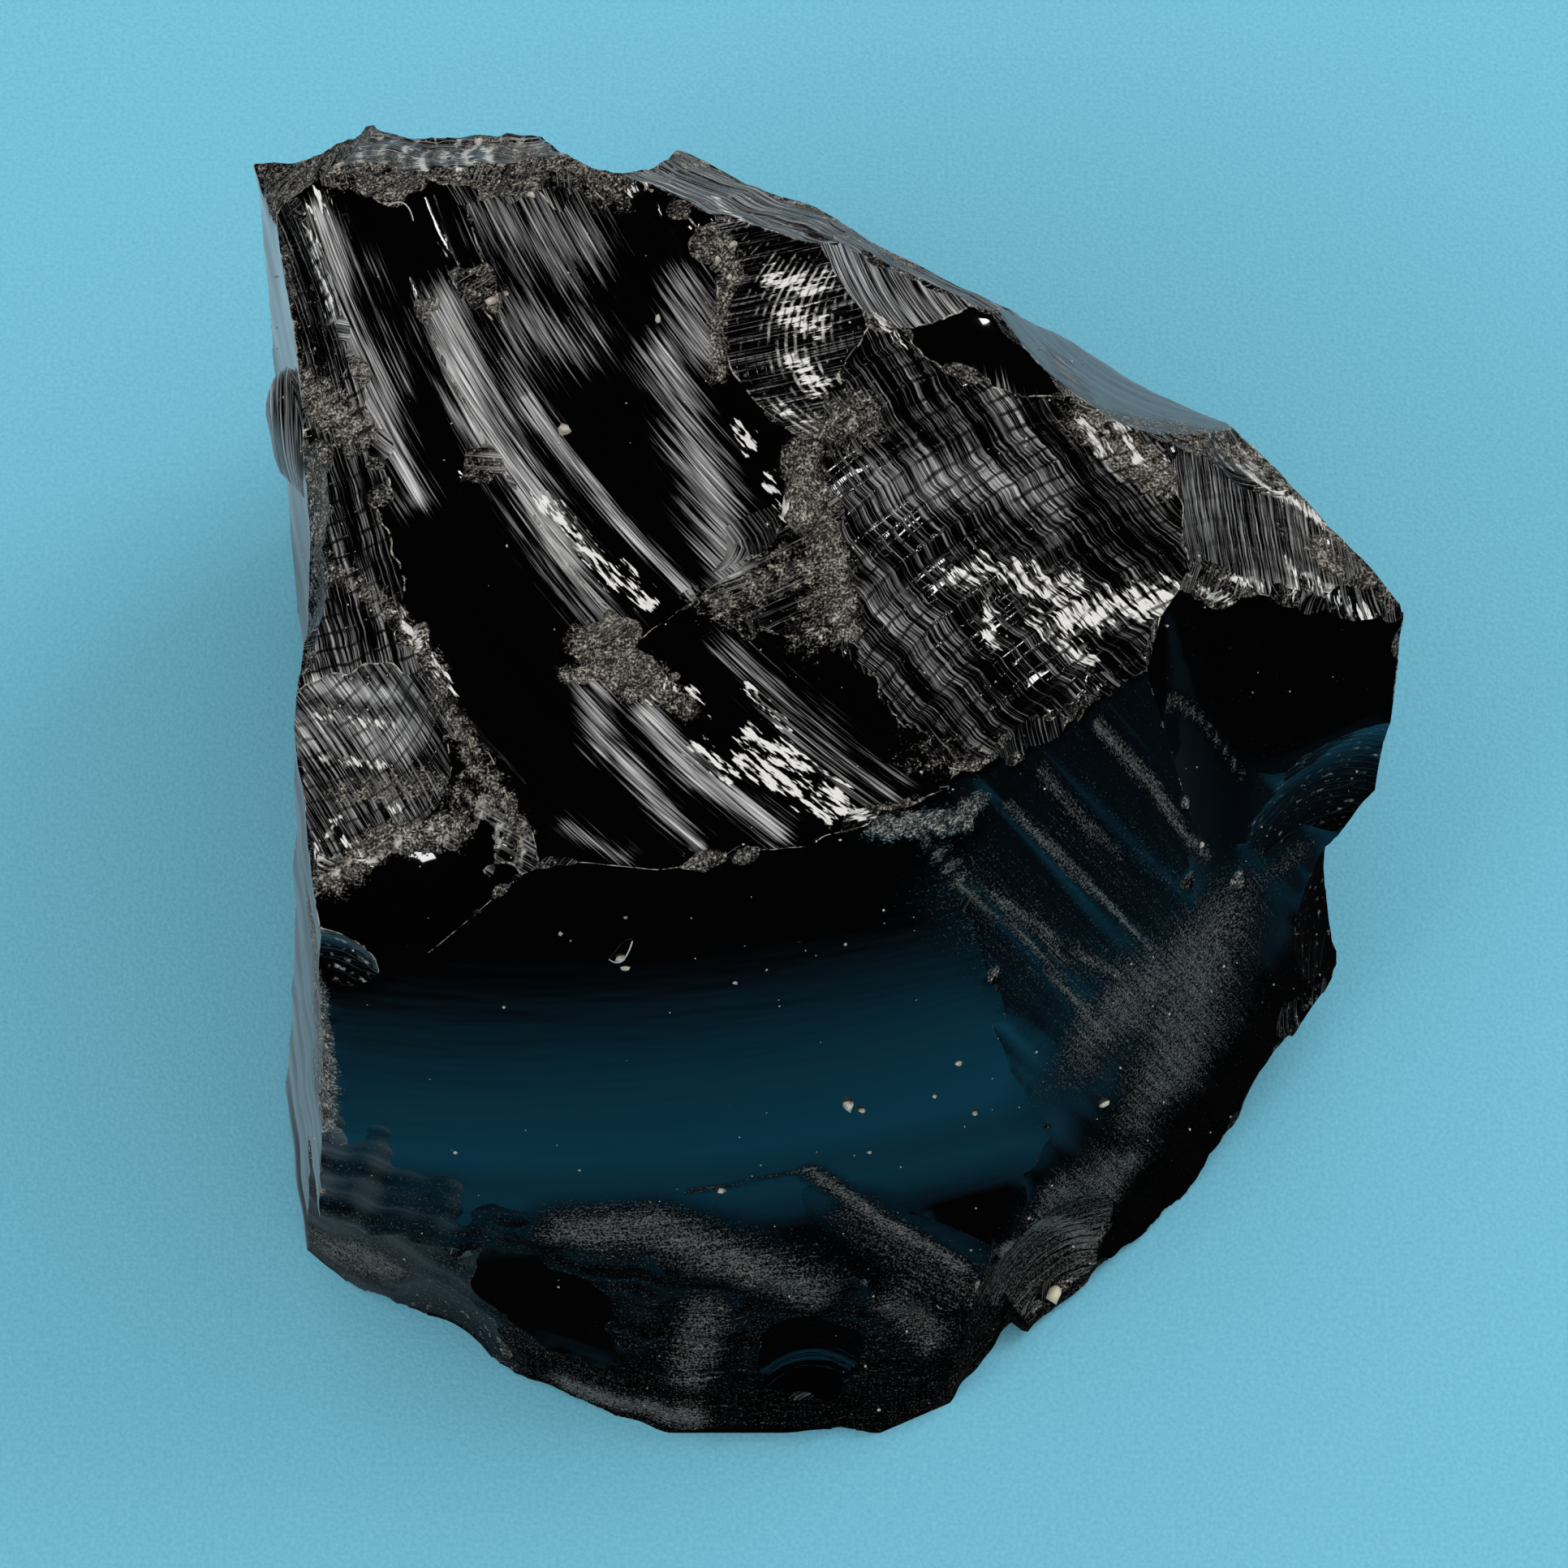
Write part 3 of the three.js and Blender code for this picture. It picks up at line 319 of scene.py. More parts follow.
def cloud(x, y, z):
    """Smooth noise from -1 to 1: random numbers on a unit lattice, blended by 3t^2 - 2t^3 on each axis."""
    x, y, z = np.broadcast_arrays(x, y, z)
    i, j, k = np.floor(x), np.floor(y), np.floor(z)
    a, b, c = x - i, y - j, z - k
    a, b, c = (t * t * (3 - 2 * t) for t in (a, b, c))

    def knot(di, dj, dk):
        wave = np.sin((i + di) * 127.1 + (j + dj) * 311.7 + (k + dk) * 74.7) * 43758.5453
        return wave - np.floor(wave)

    low, high = ((knot(0, 0, level) * (1 - a) + knot(1, 0, level) * a) * (1 - b)
                 + (knot(0, 1, level) * (1 - a) + knot(1, 1, level) * a) * b for level in (0, 1))
    return 2 * (low * (1 - c) + high * c) - 1


def axes(scar):
    """Rows u, v, w of a scar: w is the outward normal from bearing and lift, u the level line turned by run."""
    bearing, lift = np.radians(scar["face"])
    w = np.array([math.cos(bearing) * math.cos(lift), math.sin(bearing) * math.cos(lift), math.sin(lift)])
    level = np.cross((0, 0, 1), w)
    size = np.linalg.norm(level)
    level = np.array([1.0, 0, 0]) if size < 1e-6 else level / size
    run = math.radians(scar.get("run", 0))
    u = level * math.cos(run) + np.cross(w, level) * math.sin(run)
    return np.array([u, np.cross(w, u), w])


def bent(scar, u, v):
    """Place across the furrows of a fluted scar: v + u^2 / (2 bend)."""
    bend = scar["flute"][2] if "flute" in scar else 0
    return v + u * u / (2 * bend) if bend else v


def step_count(scar, u, v):
    """How many steps the crack has made: (place across them + place along them squared / (2 bend)) / pitch,
    with a slow wander of half a step."""
    pitch, _, bend, axis = scar["steps"]
    across, along = (u, v) if axis == "u" else (v, u)
    wander = 0.5 * cloud(u / 5, v / 5, scar.get("seed", 0) + 0.5)
    return (across + along * along / (2 * bend)) / pitch + wander


def relief(scar, u, v):
    """Height of a scar off its own plane: bowl u^2/2R + v^2/2R, turned-out sides, three sets of furrows along
    the crack, two sets of crossed waves, and then the steps, a saw edge rounded by a sine."""
    seed = scar.get("seed", 0)
    height = 0 * u + 0 * v
    for place, radius in zip((u, v), scar.get("hollow", (0, 0))):
        if radius:
            height = height + place * place / (2 * radius)
    for side, start, radius in scar.get("curl", ()):
        travel = {"u+": u, "u-": -u, "v+": v, "v-": -v}[side]
        height = height + np.maximum(0, travel - start) ** 2 / (2 * radius)
    if "flute" in scar:
        pitch, tall, _ = scar["flute"]
        q = bent(scar, u, v)
        broad = np.sin(TURN * q / pitch + seed)
        middle = 0.6 * np.sin(TURN * q / (pitch * 0.47) + 1.3 * seed + u * 0.05) * np.sin(u * 0.13 + seed)
        fine = 0.35 * np.sin(TURN * q / (pitch * 0.27) + 2.1 * seed) * np.sin(u * 0.21 + 2 + seed)
        height = height + tall * (broad + middle + fine)
    if "rough" in scar:
        tall, pitch = scar["rough"]
        slow = np.sin(TURN * (u * 0.9 + v * 0.35) / pitch + seed) \
            * np.sin(TURN * (v * 0.8 - u * 0.45) / pitch * 1.13 + 2 * seed)
        quick = 0.6 * np.sin(TURN * (u * 0.6 - v * 0.8) / pitch * 1.9 + 3 * seed) \
            * np.sin(TURN * (v * 0.55 + u * 0.85) / pitch * 1.7 + seed)
        height = height + tall * (slow + quick)
    if "steps" in scar:
        count = step_count(scar, u, v)
        saw = count - np.floor(count)
        shape = 0.6 * (saw - 0.5) - 0.4 * np.sin(TURN * saw) / 2
        depth = 0.55 + 0.45 * cloud(u / 4 + 7, v / 4, seed + 3.5)
        height = height + scar["steps"][1] * shape * depth
    return height


def mesh_of(name, parts):
    """One mesh from parts, each an array of places, a list of face arrays (rows of corners) and an owner number
    for its faces.  Later parts' corner numbers are moved on by the places before them."""
    points, corners, sizes, owners, before = [], [], [], [], 0
    for places, faces, owner in parts:
        points.append(places)
        corners += [f.ravel() + before for f in faces]
        sizes += [np.full(len(f), f.shape[1]) for f in faces]
        owners.append(np.full(sum(len(f) for f in faces), owner))
        before += len(places)
    points, corners, sizes = np.vstack(points), np.concatenate(corners), np.concatenate(sizes)
    mesh = bpy.data.meshes.new(name)
    mesh.vertices.add(len(points))
    mesh.vertices.foreach_set("co", np.ascontiguousarray(points, np.float32).ravel())
    mesh.loops.add(len(corners))
    mesh.loops.foreach_set("vertex_index", corners.astype(np.int32))
    mesh.polygons.add(len(sizes))
    mesh.polygons.foreach_set("loop_start", (np.cumsum(sizes) - sizes).astype(np.int32))
    mesh.update(calc_edges=True)
    numbers = np.concatenate(owners).astype(np.int32)
    mesh.attributes.new("scar", "INT", "FACE").data.foreach_set("value", numbers)
    return mesh


def cutter(scar, owner):
    """Closed cutter: the relief on a grid of (u, v), a flat lid above its highest place, walls between."""
    frame_axes = axes(scar)
    if "size" in scar:
        low_u, high_u, low_v, high_v = scar["size"]
    else:
        signs = np.array([[x, y, z] for x in (-0.5, 0.5) for y in (-0.5, 0.5) for z in (0, 1)])
        seen = (signs * BLOCK - scar["at"]) @ frame_axes[:2].T
        (low_u, low_v), (high_u, high_v) = seen.min(0) - 1.5, seen.max(0) + 1.5
    cell = scar["cell"] * CELL_FACTOR
    n = max(2, int(math.ceil((high_u - low_u) / cell)) + 1)
    m = max(2, int(math.ceil((high_v - low_v) / cell)) + 1)
    u, v = np.meshgrid(np.linspace(low_u, high_u, n), np.linspace(low_v, high_v, m), indexing="ij")
    local = np.stack([u, v, relief(scar, u, v)], -1).reshape(-1, 3)
    grid = np.arange(n * m).reshape(n, m)
    floor = np.stack([grid[:-1, :-1], grid[:-1, 1:], grid[1:, 1:], grid[1:, :-1]], -1).reshape(-1, 4)
    rim = np.concatenate([grid[:-1, 0], grid[-1, :-1], grid[:0:-1, -1], grid[0, :0:-1]])
    lid = local[rim].copy()
    lid[:, 2] = max(0.0, local[:, 2].max()) + scar.get("clear", CLEARANCE)
    top = n * m + np.arange(len(rim))
    walls = np.stack([rim, np.roll(rim, -1), np.roll(top, -1), top], -1)
    points = np.vstack([local, lid]) @ frame_axes + np.array(scar["at"], float)
    return points, [floor, walls, top[None, :]], owner


def settled(point, first, second):
    """Moves a place onto the line where two scars meet, by six Newton steps on both surfaces at once."""
    point = np.array(point, float)
    for _ in range(6):
        miss, normals = [], []
        for scar in (first, second):
            frame_axes = axes(scar)
            u, v, w = frame_axes @ (point - scar["at"])
            plain = {key: value for key, value in scar.items() if key != "steps"}
            miss.append(w - float(relief(plain, u, v)))
            normals.append(frame_axes[2])
        lean = normals[0] @ normals[1]
        share = 1 - lean * lean
        point -= normals[0] * (miss[0] - lean * miss[1]) / share
        point -= normals[1] * (miss[1] - lean * miss[0]) / share
    return point


def chip(point, outward, reach, index):
    """A flake bite: a shallow bowl of radii 4 and 3 reaches, facing outward give or take a dozen degrees."""
    bearing = math.degrees(math.atan2(outward[1], outward[0])) + 30 * (float(scatter(index + 3)) - 0.5)
    lift = math.degrees(math.asin(max(-1, min(1, outward[2])))) + 24 * (float(scatter(index + 5)) - 0.5)
    return dict(at=tuple(point - 0.32 * reach * outward), face=(bearing, lift),
                run=90 * float(scatter(index + 9)), hollow=(4 * reach, 3 * reach),
                size=(-2 * reach, 2 * reach, -2 * reach, 2 * reach),
                cell=max(0.28, 0.2 * reach), seed=index % 17,
                steps=(0.5 + 0.25 * reach, 0.05 * reach, 2 * reach, "v"),
                look=(0.3, 0.1, 0.15 + 0.5 * float(scatter(index + 11)), 0.1, 0.5, 0))


def ridge_chips():
    """The same bites that the solid has, each settled on its ridge."""
    found = []
    for ridge, (first, second, start, end, count, width) in enumerate(RIDGES):
        one, two = SCARS[first], SCARS.get(second, BASE)
        outward = axes(one)[2] + axes(two)[2]
        outward /= np.linalg.norm(outward)
        for k in range(count):
            index = ridge * 40 + k
            share = (k + 0.2 + 0.6 * float(scatter(index))) / count
            point = settled(np.array(start) * (1 - share) + np.array(end) * share, one, two)
            found.append(chip(point, outward, width * (0.6 + 0.8 * float(scatter(index + 7))), index))
    return found


def lump(centre, half, index, owner):
    """Lumpy ball: a grid of latitude and longitude pushed in and out by 1 + 0.16 sin sin and fine noise."""
    rows, around = 14, 24
    lat, lon = np.meshgrid(np.linspace(0, math.pi, rows + 1)[1:-1], np.arange(around) * TURN / around,
                           indexing="ij")
    ball = np.stack([np.sin(lat) * np.cos(lon), np.sin(lat) * np.sin(lon), np.cos(lat)], -1).reshape(-1, 3)
    ball = np.vstack([ball, [(0, 0, 1), (0, 0, -1)]])
    swell = 1 + 0.16 * np.sin(4 * ball[:, 0] + index) * np.sin(3 * ball[:, 1] + 2 * index + ball[:, 2])
    swell += 0.08 * cloud(*(ball.T * 3 + index))
    points = np.array(centre) + ball * swell[:, None] * np.array(half)
    ring = np.arange((rows - 1) * around).reshape(rows - 1, around)
    side = np.roll(ring, -1, 1)
    quads = np.stack([ring[:-1], ring[1:], side[1:], side[:-1]], -1).reshape(-1, 4)
    north, south = ring.size, ring.size + 1
    caps = np.vstack([np.stack([np.full(around, north), ring[0], side[0]], -1),
                      np.stack([np.full(around, south), side[-1], ring[-1]], -1)])
    return points, [quads, caps], owner


def combine(stone, meshes, operation):
    """Adds or takes off a set of closed meshes in one boolean, keeping each face's owner number."""
    group = bpy.data.collections.new("tools")
    bpy.context.scene.collection.children.link(group)
    for mesh in meshes:
        group.objects.link(bpy.data.objects.new(mesh.name, mesh))
    step = stone.modifiers.new("knap", "BOOLEAN")
    step.operation, step.solver, step.operand_type, step.collection = operation, "MANIFOLD", "COLLECTION", group
    shaped = bpy.data.meshes.new_from_object(stone.evaluated_get(bpy.context.evaluated_depsgraph_get()))
    stone.modifiers.clear()
    old, stone.data = stone.data, shaped
    bpy.data.meshes.remove(old)
    for tool in list(group.objects):
        mesh = tool.data
        bpy.data.objects.remove(tool)
        bpy.data.meshes.remove(mesh)
    bpy.data.collections.remove(group)


def set_apart(chips):
    """Sorts bites into sets whose members clear each other, so that a set can be one mesh."""
    sets = []
    for chip_scar in chips:
        spot, room = np.array(chip_scar["at"]), 1.8 * chip_scar["size"][1]
        for members in sets:
            if all(np.linalg.norm(spot - other) > room + other_room for other, other_room, _ in members):
                members.append((spot, room, chip_scar))
                break
        else:
            sets.append([(spot, room, chip_scar)])
    return [[entry[2] for entry in members] for members in sets]


def read(collection, name, width, kind=np.float32):
    """One column of a mesh's data as an array."""
    values = np.zeros(len(collection) * width, kind)
    collection.foreach_get(name, values)
    return values.reshape(-1, width) if width > 1 else values


def edge_sides(mesh):
    """For each edge with two faces: its number and those two faces, from the corners sorted by edge."""
    corner_edge = read(mesh.loops, "edge_index", 1, np.int32)
    totals = read(mesh.polygons, "loop_total", 1, np.int32)
    corner_face = np.repeat(np.arange(len(totals)), totals)
    order = np.argsort(corner_edge, kind="stable")
    sorted_edge, sorted_face = corner_edge[order], corner_face[order]
    twin = sorted_edge[:-1] == sorted_edge[1:]
    return sorted_edge[:-1][twin], sorted_face[:-1][twin], sorted_face[1:][twin]


def ridge_edges(mesh, bold=20, below=1e9):
    """Edges where two owners meet, those of them that stick out by over so many degrees and whose owners'
    numbers are both below a limit, and their bisectors."""
    owner = read(mesh.attributes["scar"].data, "value", 1, np.int32)
    normal = read(mesh.polygons, "normal", 3)
    centre = read(mesh.polygons, "center", 3)
    edge, one, two = edge_sides(mesh)
    apart = owner[one] != owner[two]
    bend = (normal[one] * normal[two]).sum(1)
    proud = ((centre[two] - centre[one]) * normal[one]).sum(1) < 0
    sharp = apart & (bend < math.cos(math.radians(bold))) & proud & (np.maximum(owner[one], owner[two]) < below)
    bisector = normal[one] + normal[two]
    bisector /= np.maximum(1e-6, np.linalg.norm(bisector, axis=1))[:, None]
    return edge[apart], edge[sharp], bisector[sharp]


def crumbs_off_ridges(mesh, count):
    """Small bites spread over the bold ridges: edges drawn by length with a fixed seed, few at the front."""
    _, edge, bisector = ridge_edges(mesh, bold=34)
    ends = read(mesh.edges, "vertices", 2, np.int32)[edge]
    place = read(mesh.vertices, "co", 3)
    length = np.linalg.norm(place[ends[:, 0]] - place[ends[:, 1]], axis=1)
    length *= np.where(bisector[:, 2] < 0.5, 0.3, 1.0)
    draw = np.random.default_rng(BITE_SEED)
    picked = draw.choice(len(edge), count, p=length / length.sum())
    share = draw.random(count)[:, None]
    spots = place[ends[picked, 0]] * share + place[ends[picked, 1]] * (1 - share)
    reach = 0.22 + 0.5 * draw.random(count) ** 2.5
    found = [chip(spots[k].astype(float), bisector[picked[k]].astype(float), float(reach[k]), 1000 + k)
             for k in range(count) if spots[k][2] > 0.4]
    for entry in found:
        entry["clear"] = 0.8 * entry["size"][1]
    return found


def distance_along(mesh, start, steps):
    """Distance of each vertex from the start vertices, passed on along the edges and kept where shorter; 9 mm
    where no start is near."""
    ends = read(mesh.edges, "vertices", 2, np.int32)
    place = read(mesh.vertices, "co", 3)
    length = np.linalg.norm(place[ends[:, 0]] - place[ends[:, 1]], axis=1)
    far = np.full(len(place), 9.0)
    far[start] = 0
    for _ in range(steps):
        np.minimum.at(far, ends[:, 0], far[ends[:, 1]] + length)
        np.minimum.at(far, ends[:, 1], far[ends[:, 0]] + length)
    return far


def nearness(flat, path, width):
    """exp(-0.7 (distance from a broken line / width)^2) for places in two dimensions."""
    best = np.full(len(flat), 1e9)
    for start, end in zip(path[:-1], path[1:]):
        run = end - start
        share = np.clip((flat - start) @ run / (run @ run), 0, 1)
        best = np.minimum(best, ((flat - start - share[:, None] * run) ** 2).sum(1))
    return np.exp(-0.7 * best / width ** 2)


def set_values(mesh, name, kind, values):
    mesh.attributes.new(name, kind, "CORNER").data.foreach_set(
        "vector" if kind == "FLOAT_VECTOR" else "value", np.ascontiguousarray(values, np.float32).ravel())


def knapped_stone():
    """The chunk: block, less the scars, plus the lumps, less the bites on its ridges."""
    half = BLOCK / 2
    signs = np.array([[x, y, z] for z in (0, 1) for y in (-1, 1) for x in (-1, 1)], float)
    box = signs * np.array([half[0], half[1], BLOCK[2]])
    sides = np.array([[0, 2, 3, 1], [4, 5, 7, 6], [0, 1, 5, 4], [1, 3, 7, 5], [3, 2, 6, 7], [2, 0, 4, 6]])
    stone = bpy.data.objects.new("obsidian_stone", mesh_of("obsidian_stone", [(box, [sides], 0)]))
    bpy.context.scene.collection.objects.link(stone)
    owners = [BASE]

    def tools(scars):
        made = []
        for scar in scars:
            made.append(cutter(scar, len(owners)))
            owners.append(scar)
        return made

    for part in tools(SCARS.values()):
        combine(stone, [mesh_of("scar", [part])], "DIFFERENCE")
    balls = []
    for index, (centre, sizes, frost_and_sheen, crushed) in enumerate(LUMPS):
        balls.append(mesh_of("lump", [lump(centre, sizes, index, len(owners))]))
        owners.append(dict(at=centre, face=(0, 89), seed=index, look=(frost_and_sheen, 0.1, crushed, 0.1, 0, 0)))
    combine(stone, balls, "UNION")
    combine(stone, [mesh_of("bite", [part]) for part in tools(ridge_chips())], "DIFFERENCE")
    for members in set_apart(crumbs_off_ridges(stone.data, BITS)):
        combine(stone, [mesh_of("crumbs", tools(members))], "DIFFERENCE")
    return stone, owners


def finish_stone(stone, owners):
    """Gives every corner its place in its own scar and how frosted with painted sheen, how much painted glint,
    how crushed, dusty and worn it is, then roughens the surface by those, inwards only."""
    mesh = stone.data
    owner = read(mesh.attributes["scar"].data, "value", 1, np.int32)
    totals = read(mesh.polygons, "loop_total", 1, np.int32)
    corner_vertex = read(mesh.loops, "vertex_index", 1, np.int32)
    corner_owner = np.repeat(owner, totals)
    place = read(mesh.vertices, "co", 3).astype(float)
    corner = place[corner_vertex]

    frames = np.array([axes(scar) for scar in owners])
    origins = np.array([scar["at"] for scar in owners], float)
    local = np.einsum("nij,nj->ni", frames[corner_owner], corner - origins[corner_owner])
    bends = np.array([scar["flute"][2] if "flute" in scar and scar["flute"][2] else 1e9 for scar in owners])
    seeds = np.array([scar.get("seed", 0) for scar in owners], float)
    u, v = local[:, 0], local[:, 1]
    across = v + u * u / (2 * bends[corner_owner])
    grain = np.stack([u, across, seeds[corner_owner] * 3.7], -1)
    by_v = np.array([scar.get("steps", (0, 0, 0, ""))[3] == "v" and "flute" in scar for scar in owners])
    grain[by_v[corner_owner]] = grain[by_v[corner_owner]][:, [1, 0, 2]]
    phase = np.zeros(len(corner))
    for number, scar in enumerate(owners):
        if "steps" in scar:
            mine = corner_owner == number
            phase[mine] = step_count(scar, u[mine], v[mine])

    looks = np.array([scar["look"] for scar in owners])[corner_owner]
    # Scars that look up take the one table of marks, steep scars at the front the other.
    upward = frames[corner_owner, 2, 2] > 0.5
    forward = (frames[corner_owner, 2, 1] < 0.35) & ~upward & (corner[:, 1] < -4)
    masks = looks[:, :4].copy()
    for table, chosen, flat in ((TOP_MARKS, upward, corner[:, :2]), (FRONT_MARKS, forward, corner[:, ::2])):
        for kind, marks in table.items():
            for width, strength, *path in marks:
                near = nearness(flat[chosen], np.array(path, float).reshape(-1, 2), width)
                masks[chosen, kind] = np.maximum(masks[chosen, kind], strength * near)

    _, sharp, _ = ridge_edges(mesh, below=1 + len(SCARS))
    ends = read(mesh.edges, "vertices", 2, np.int32)
    far = distance_along(mesh, np.unique(ends[sharp]), RIDGE_PASSES)

    strokes, painted_glint_mask, crush, dust = masks.T
    furrow = 0.5 + 0.5 * cloud(grain[:, 0] / FURROW_LONG, grain[:, 1] / FURROW_WIDE, grain[:, 2])
    grit = 0.5 + 0.5 * cloud(*(corner.T / GRIT))
    fine_grit = 0.5 + 0.5 * cloud(*(corner.T / FINE_GRIT + 40))
    worn = np.exp(-far[corner_vertex] / RIDGE_FADE)
    depth = STROKE_SINK * strokes * furrow + GLINT_SINK * painted_glint_mask * furrow + CRUSH_SINK * crush * grit \
        + GRIT_SINK * crush * fine_grit + RIDGE_SINK * worn * grit + DUST_SINK * dust * fine_grit
    underside = frames[corner_owner, 2, 2] < -0.99
    depth[underside] = 0
    uses = np.bincount(corner_vertex, minlength=len(place))
    sunk = np.bincount(corner_vertex, depth, len(place)) / np.maximum(uses, 1)
    on_base = np.zeros(len(place), bool)
    on_base[corner_vertex[underside]] = True
    sunk[on_base] = 0
    normal = read(mesh.vertices, "normal", 3)
    place -= normal * sunk[:, None]
    mesh.vertices.foreach_set("co", (place * MM).astype(np.float32).ravel())

    apart, _, _ = ridge_edges(mesh)
    sharp_edge = np.zeros(len(mesh.edges), bool)
    sharp_edge[apart] = True
    mesh.attributes.new("sharp_edge", "BOOLEAN", "EDGE").data.foreach_set("value", sharp_edge)
    mesh.polygons.foreach_set("use_smooth", np.ones(len(mesh.polygons), bool))
    set_values(mesh, "grain", "FLOAT_VECTOR", grain)
    for name, values in (("phase", phase), ("strokes", strokes), ("painted_glint_mask", painted_glint_mask), ("crush", crush),
                         ("dust", dust), ("lines", looks[:, 4]), ("crest_highlight_level", looks[:, 5]),
                         ("worn", far[corner_vertex] + EDGE_LINE * forward)):
        set_values(mesh, name, "FLOAT", values)
    mesh.update()


def crumbs(name, spots, sizes, seed):
    """Crumbs as one mesh: for each an icosahedron, its corners pushed in or out by up to 35 per cent, squashed
    along its axes and turned about z, all by seeded draws."""
    draw = np.random.default_rng(seed)
    golden = (1 + math.sqrt(5)) / 2
    ball = np.array([(a, b * golden, 0) for a in (-1, 1) for b in (-1, 1)], float)
    ball = np.vstack([ball, ball[:, [2, 0, 1]], ball[:, [1, 2, 0]]]) / math.sqrt(1 + golden * golden)
    near = np.linalg.norm(ball[:, None] - ball[None], axis=2) < 1.2
    faces = np.array([(i, j, k) for i in range(12) for j in range(i + 1, 12) for k in range(j + 1, 12)
                      if near[i, j] and near[j, k] and near[i, k]])
    one, two, three = (ball[faces[:, k]] for k in range(3))
    inward = (np.cross(two - one, three - one) * one).sum(1) < 0
    faces[inward] = faces[inward][:, ::-1]
    spots, sizes = np.array(spots, float), np.array(sizes, float)
    count = len(spots)
    swell = 1 + 0.35 * (2 * draw.random((count, 12, 1)) - 1)
    shape = ball[None] * swell * (0.6 + 0.6 * draw.random((count, 1, 3))) * sizes[:, None, None]
    turn = TURN * draw.random((count, 1))
    x = shape[:, :, 0] * np.cos(turn) - shape[:, :, 1] * np.sin(turn)
    y = shape[:, :, 0] * np.sin(turn) + shape[:, :, 1] * np.cos(turn)
    points = np.stack([x, y, shape[:, :, 2]], -1) + spots[:, None]
    corners = (faces[None] + 12 * np.arange(count)[:, None, None]).reshape(-1, 3)
    return mesh_of(name, [(points.reshape(-1, 3) * MM, [corners], 0)])


def fibre(path, radius, owner):
    """A hair: a circle of six carried along the curve (1-t)^2 a + 2t(1-t) b + t^2 c, closed at both ends."""
    stations, sides = 14, 6
    t = np.linspace(0, 1, stations)[:, None]
    a, b, c = (np.array(p, float) for p in path)
    line = (1 - t) ** 2 * a + 2 * t * (1 - t) * b + t ** 2 * c
    ahead = 2 * (1 - t) * (b - a) + 2 * t * (c - b)
    ahead /= np.linalg.norm(ahead, axis=1)[:, None]
    side = np.cross(ahead, (0.3, 0.2, 0.93))
    side /= np.linalg.norm(side, axis=1)[:, None]
    up = np.cross(side, ahead)
    angle = np.arange(sides) * TURN / sides
    rings = line[:, None] + radius * (np.cos(angle)[None, :, None] * side[:, None]
                                      + np.sin(angle)[None, :, None] * up[:, None])
    number = np.arange(stations * sides).reshape(stations, sides)
    after = np.roll(number, -1, 1)
    walls = np.stack([number[:-1], number[1:], after[1:], after[:-1]], -1).reshape(-1, 4)
    return rings.reshape(-1, 3) * MM, [walls, number[:1], number[-1:, ::-1]], owner


def specks_spread(mesh, count):
    """Places for specks over the faces that look up, drawn by area with a fixed seed, and their sizes, from
    0.03 to 0.1 mm."""
    normal, centre = read(mesh.polygons, "normal", 3), read(mesh.polygons, "center", 3) / MM
    open_face = (normal[:, 2] > 0.1) & (centre[:, 2] > 1) & (np.abs(centre[:, 0]) < 29.8)
    area = read(mesh.polygons, "area", 1) * open_face
    draw = np.random.default_rng(SPECK_SEED)
    picked = draw.choice(len(area), count, p=area / area.sum())
    return centre[picked] + 0.008 * normal[picked], 0.03 + 0.07 * draw.random(count) ** 2


# ---------------------------------------------------------------- finishes

def linear(hex_colour):
    """An sRGB hex colour as linear red, green, blue and 1."""
    parts = [int(hex_colour[k:k + 2], 16) / 255 for k in (1, 3, 5)]
    return tuple(p / 12.92 if p <= 0.04045 else ((p + 0.055) / 1.055) ** 2.4 for p in parts) + (1.0,)


def add(tree, kind, inputs=(), out=0, **settings):
    """Adds a node with its settings, sets its inputs in order or by name, each to a value or to another node's
    output, and gives the output asked for."""
    node = tree.nodes.new("ShaderNode" + kind)
    for name, value in settings.items():
        setattr(node, name, value)
    for key, value in inputs.items() if isinstance(inputs, dict) else enumerate(inputs):
        if isinstance(value, bpy.types.NodeSocket):
            tree.links.new(value, node.inputs[key])
        else:
            node.inputs[key].default_value = value
    return node.outputs[out] if len(node.outputs) else node


def new_material(name):
    material = bpy.data.materials.new(name)
    material.use_nodes = True
    material.node_tree.nodes.clear()
    return material, material.node_tree


# Patterns in the glass: which coordinates they follow, how often they repeat per millimetre along and across
# the crack, where they start, and their layers.  Brush hairs are 0.1 mm wide and 4.5 mm long; real ones are
# finer and are drawn this coarse to show.  Crushed glass has grains of 0.12 mm in clots of 0.5 mm.
PATTERNS = {
    "bands": ("grain", (0.22, 1.4, 1.0), 0.0, 2.0),
    "hair": ("grain", (0.22, 9.0, 1.0), 5.0, 3.0),
    "dabs": ("grain", (0.95, 4.6, 1.0), 9.0, 2.0),
    "cross": ("grain", (7.0, 1.0, 1.0), 3.0, 2.0),
    "patch": ("millimetres", (0.8, 0.8, 0.8), 2.0, 3.0),
    "clots": ("millimetres", (2.0, 2.0, 2.0), 4.0, 3.0),
    "grit": ("millimetres", (8.0, 8.0, 8.0), 7.0, 3.0),
    "flow": ("millimetres", (0.10, 0.10, 0.55), 1.0, 2.0),
}


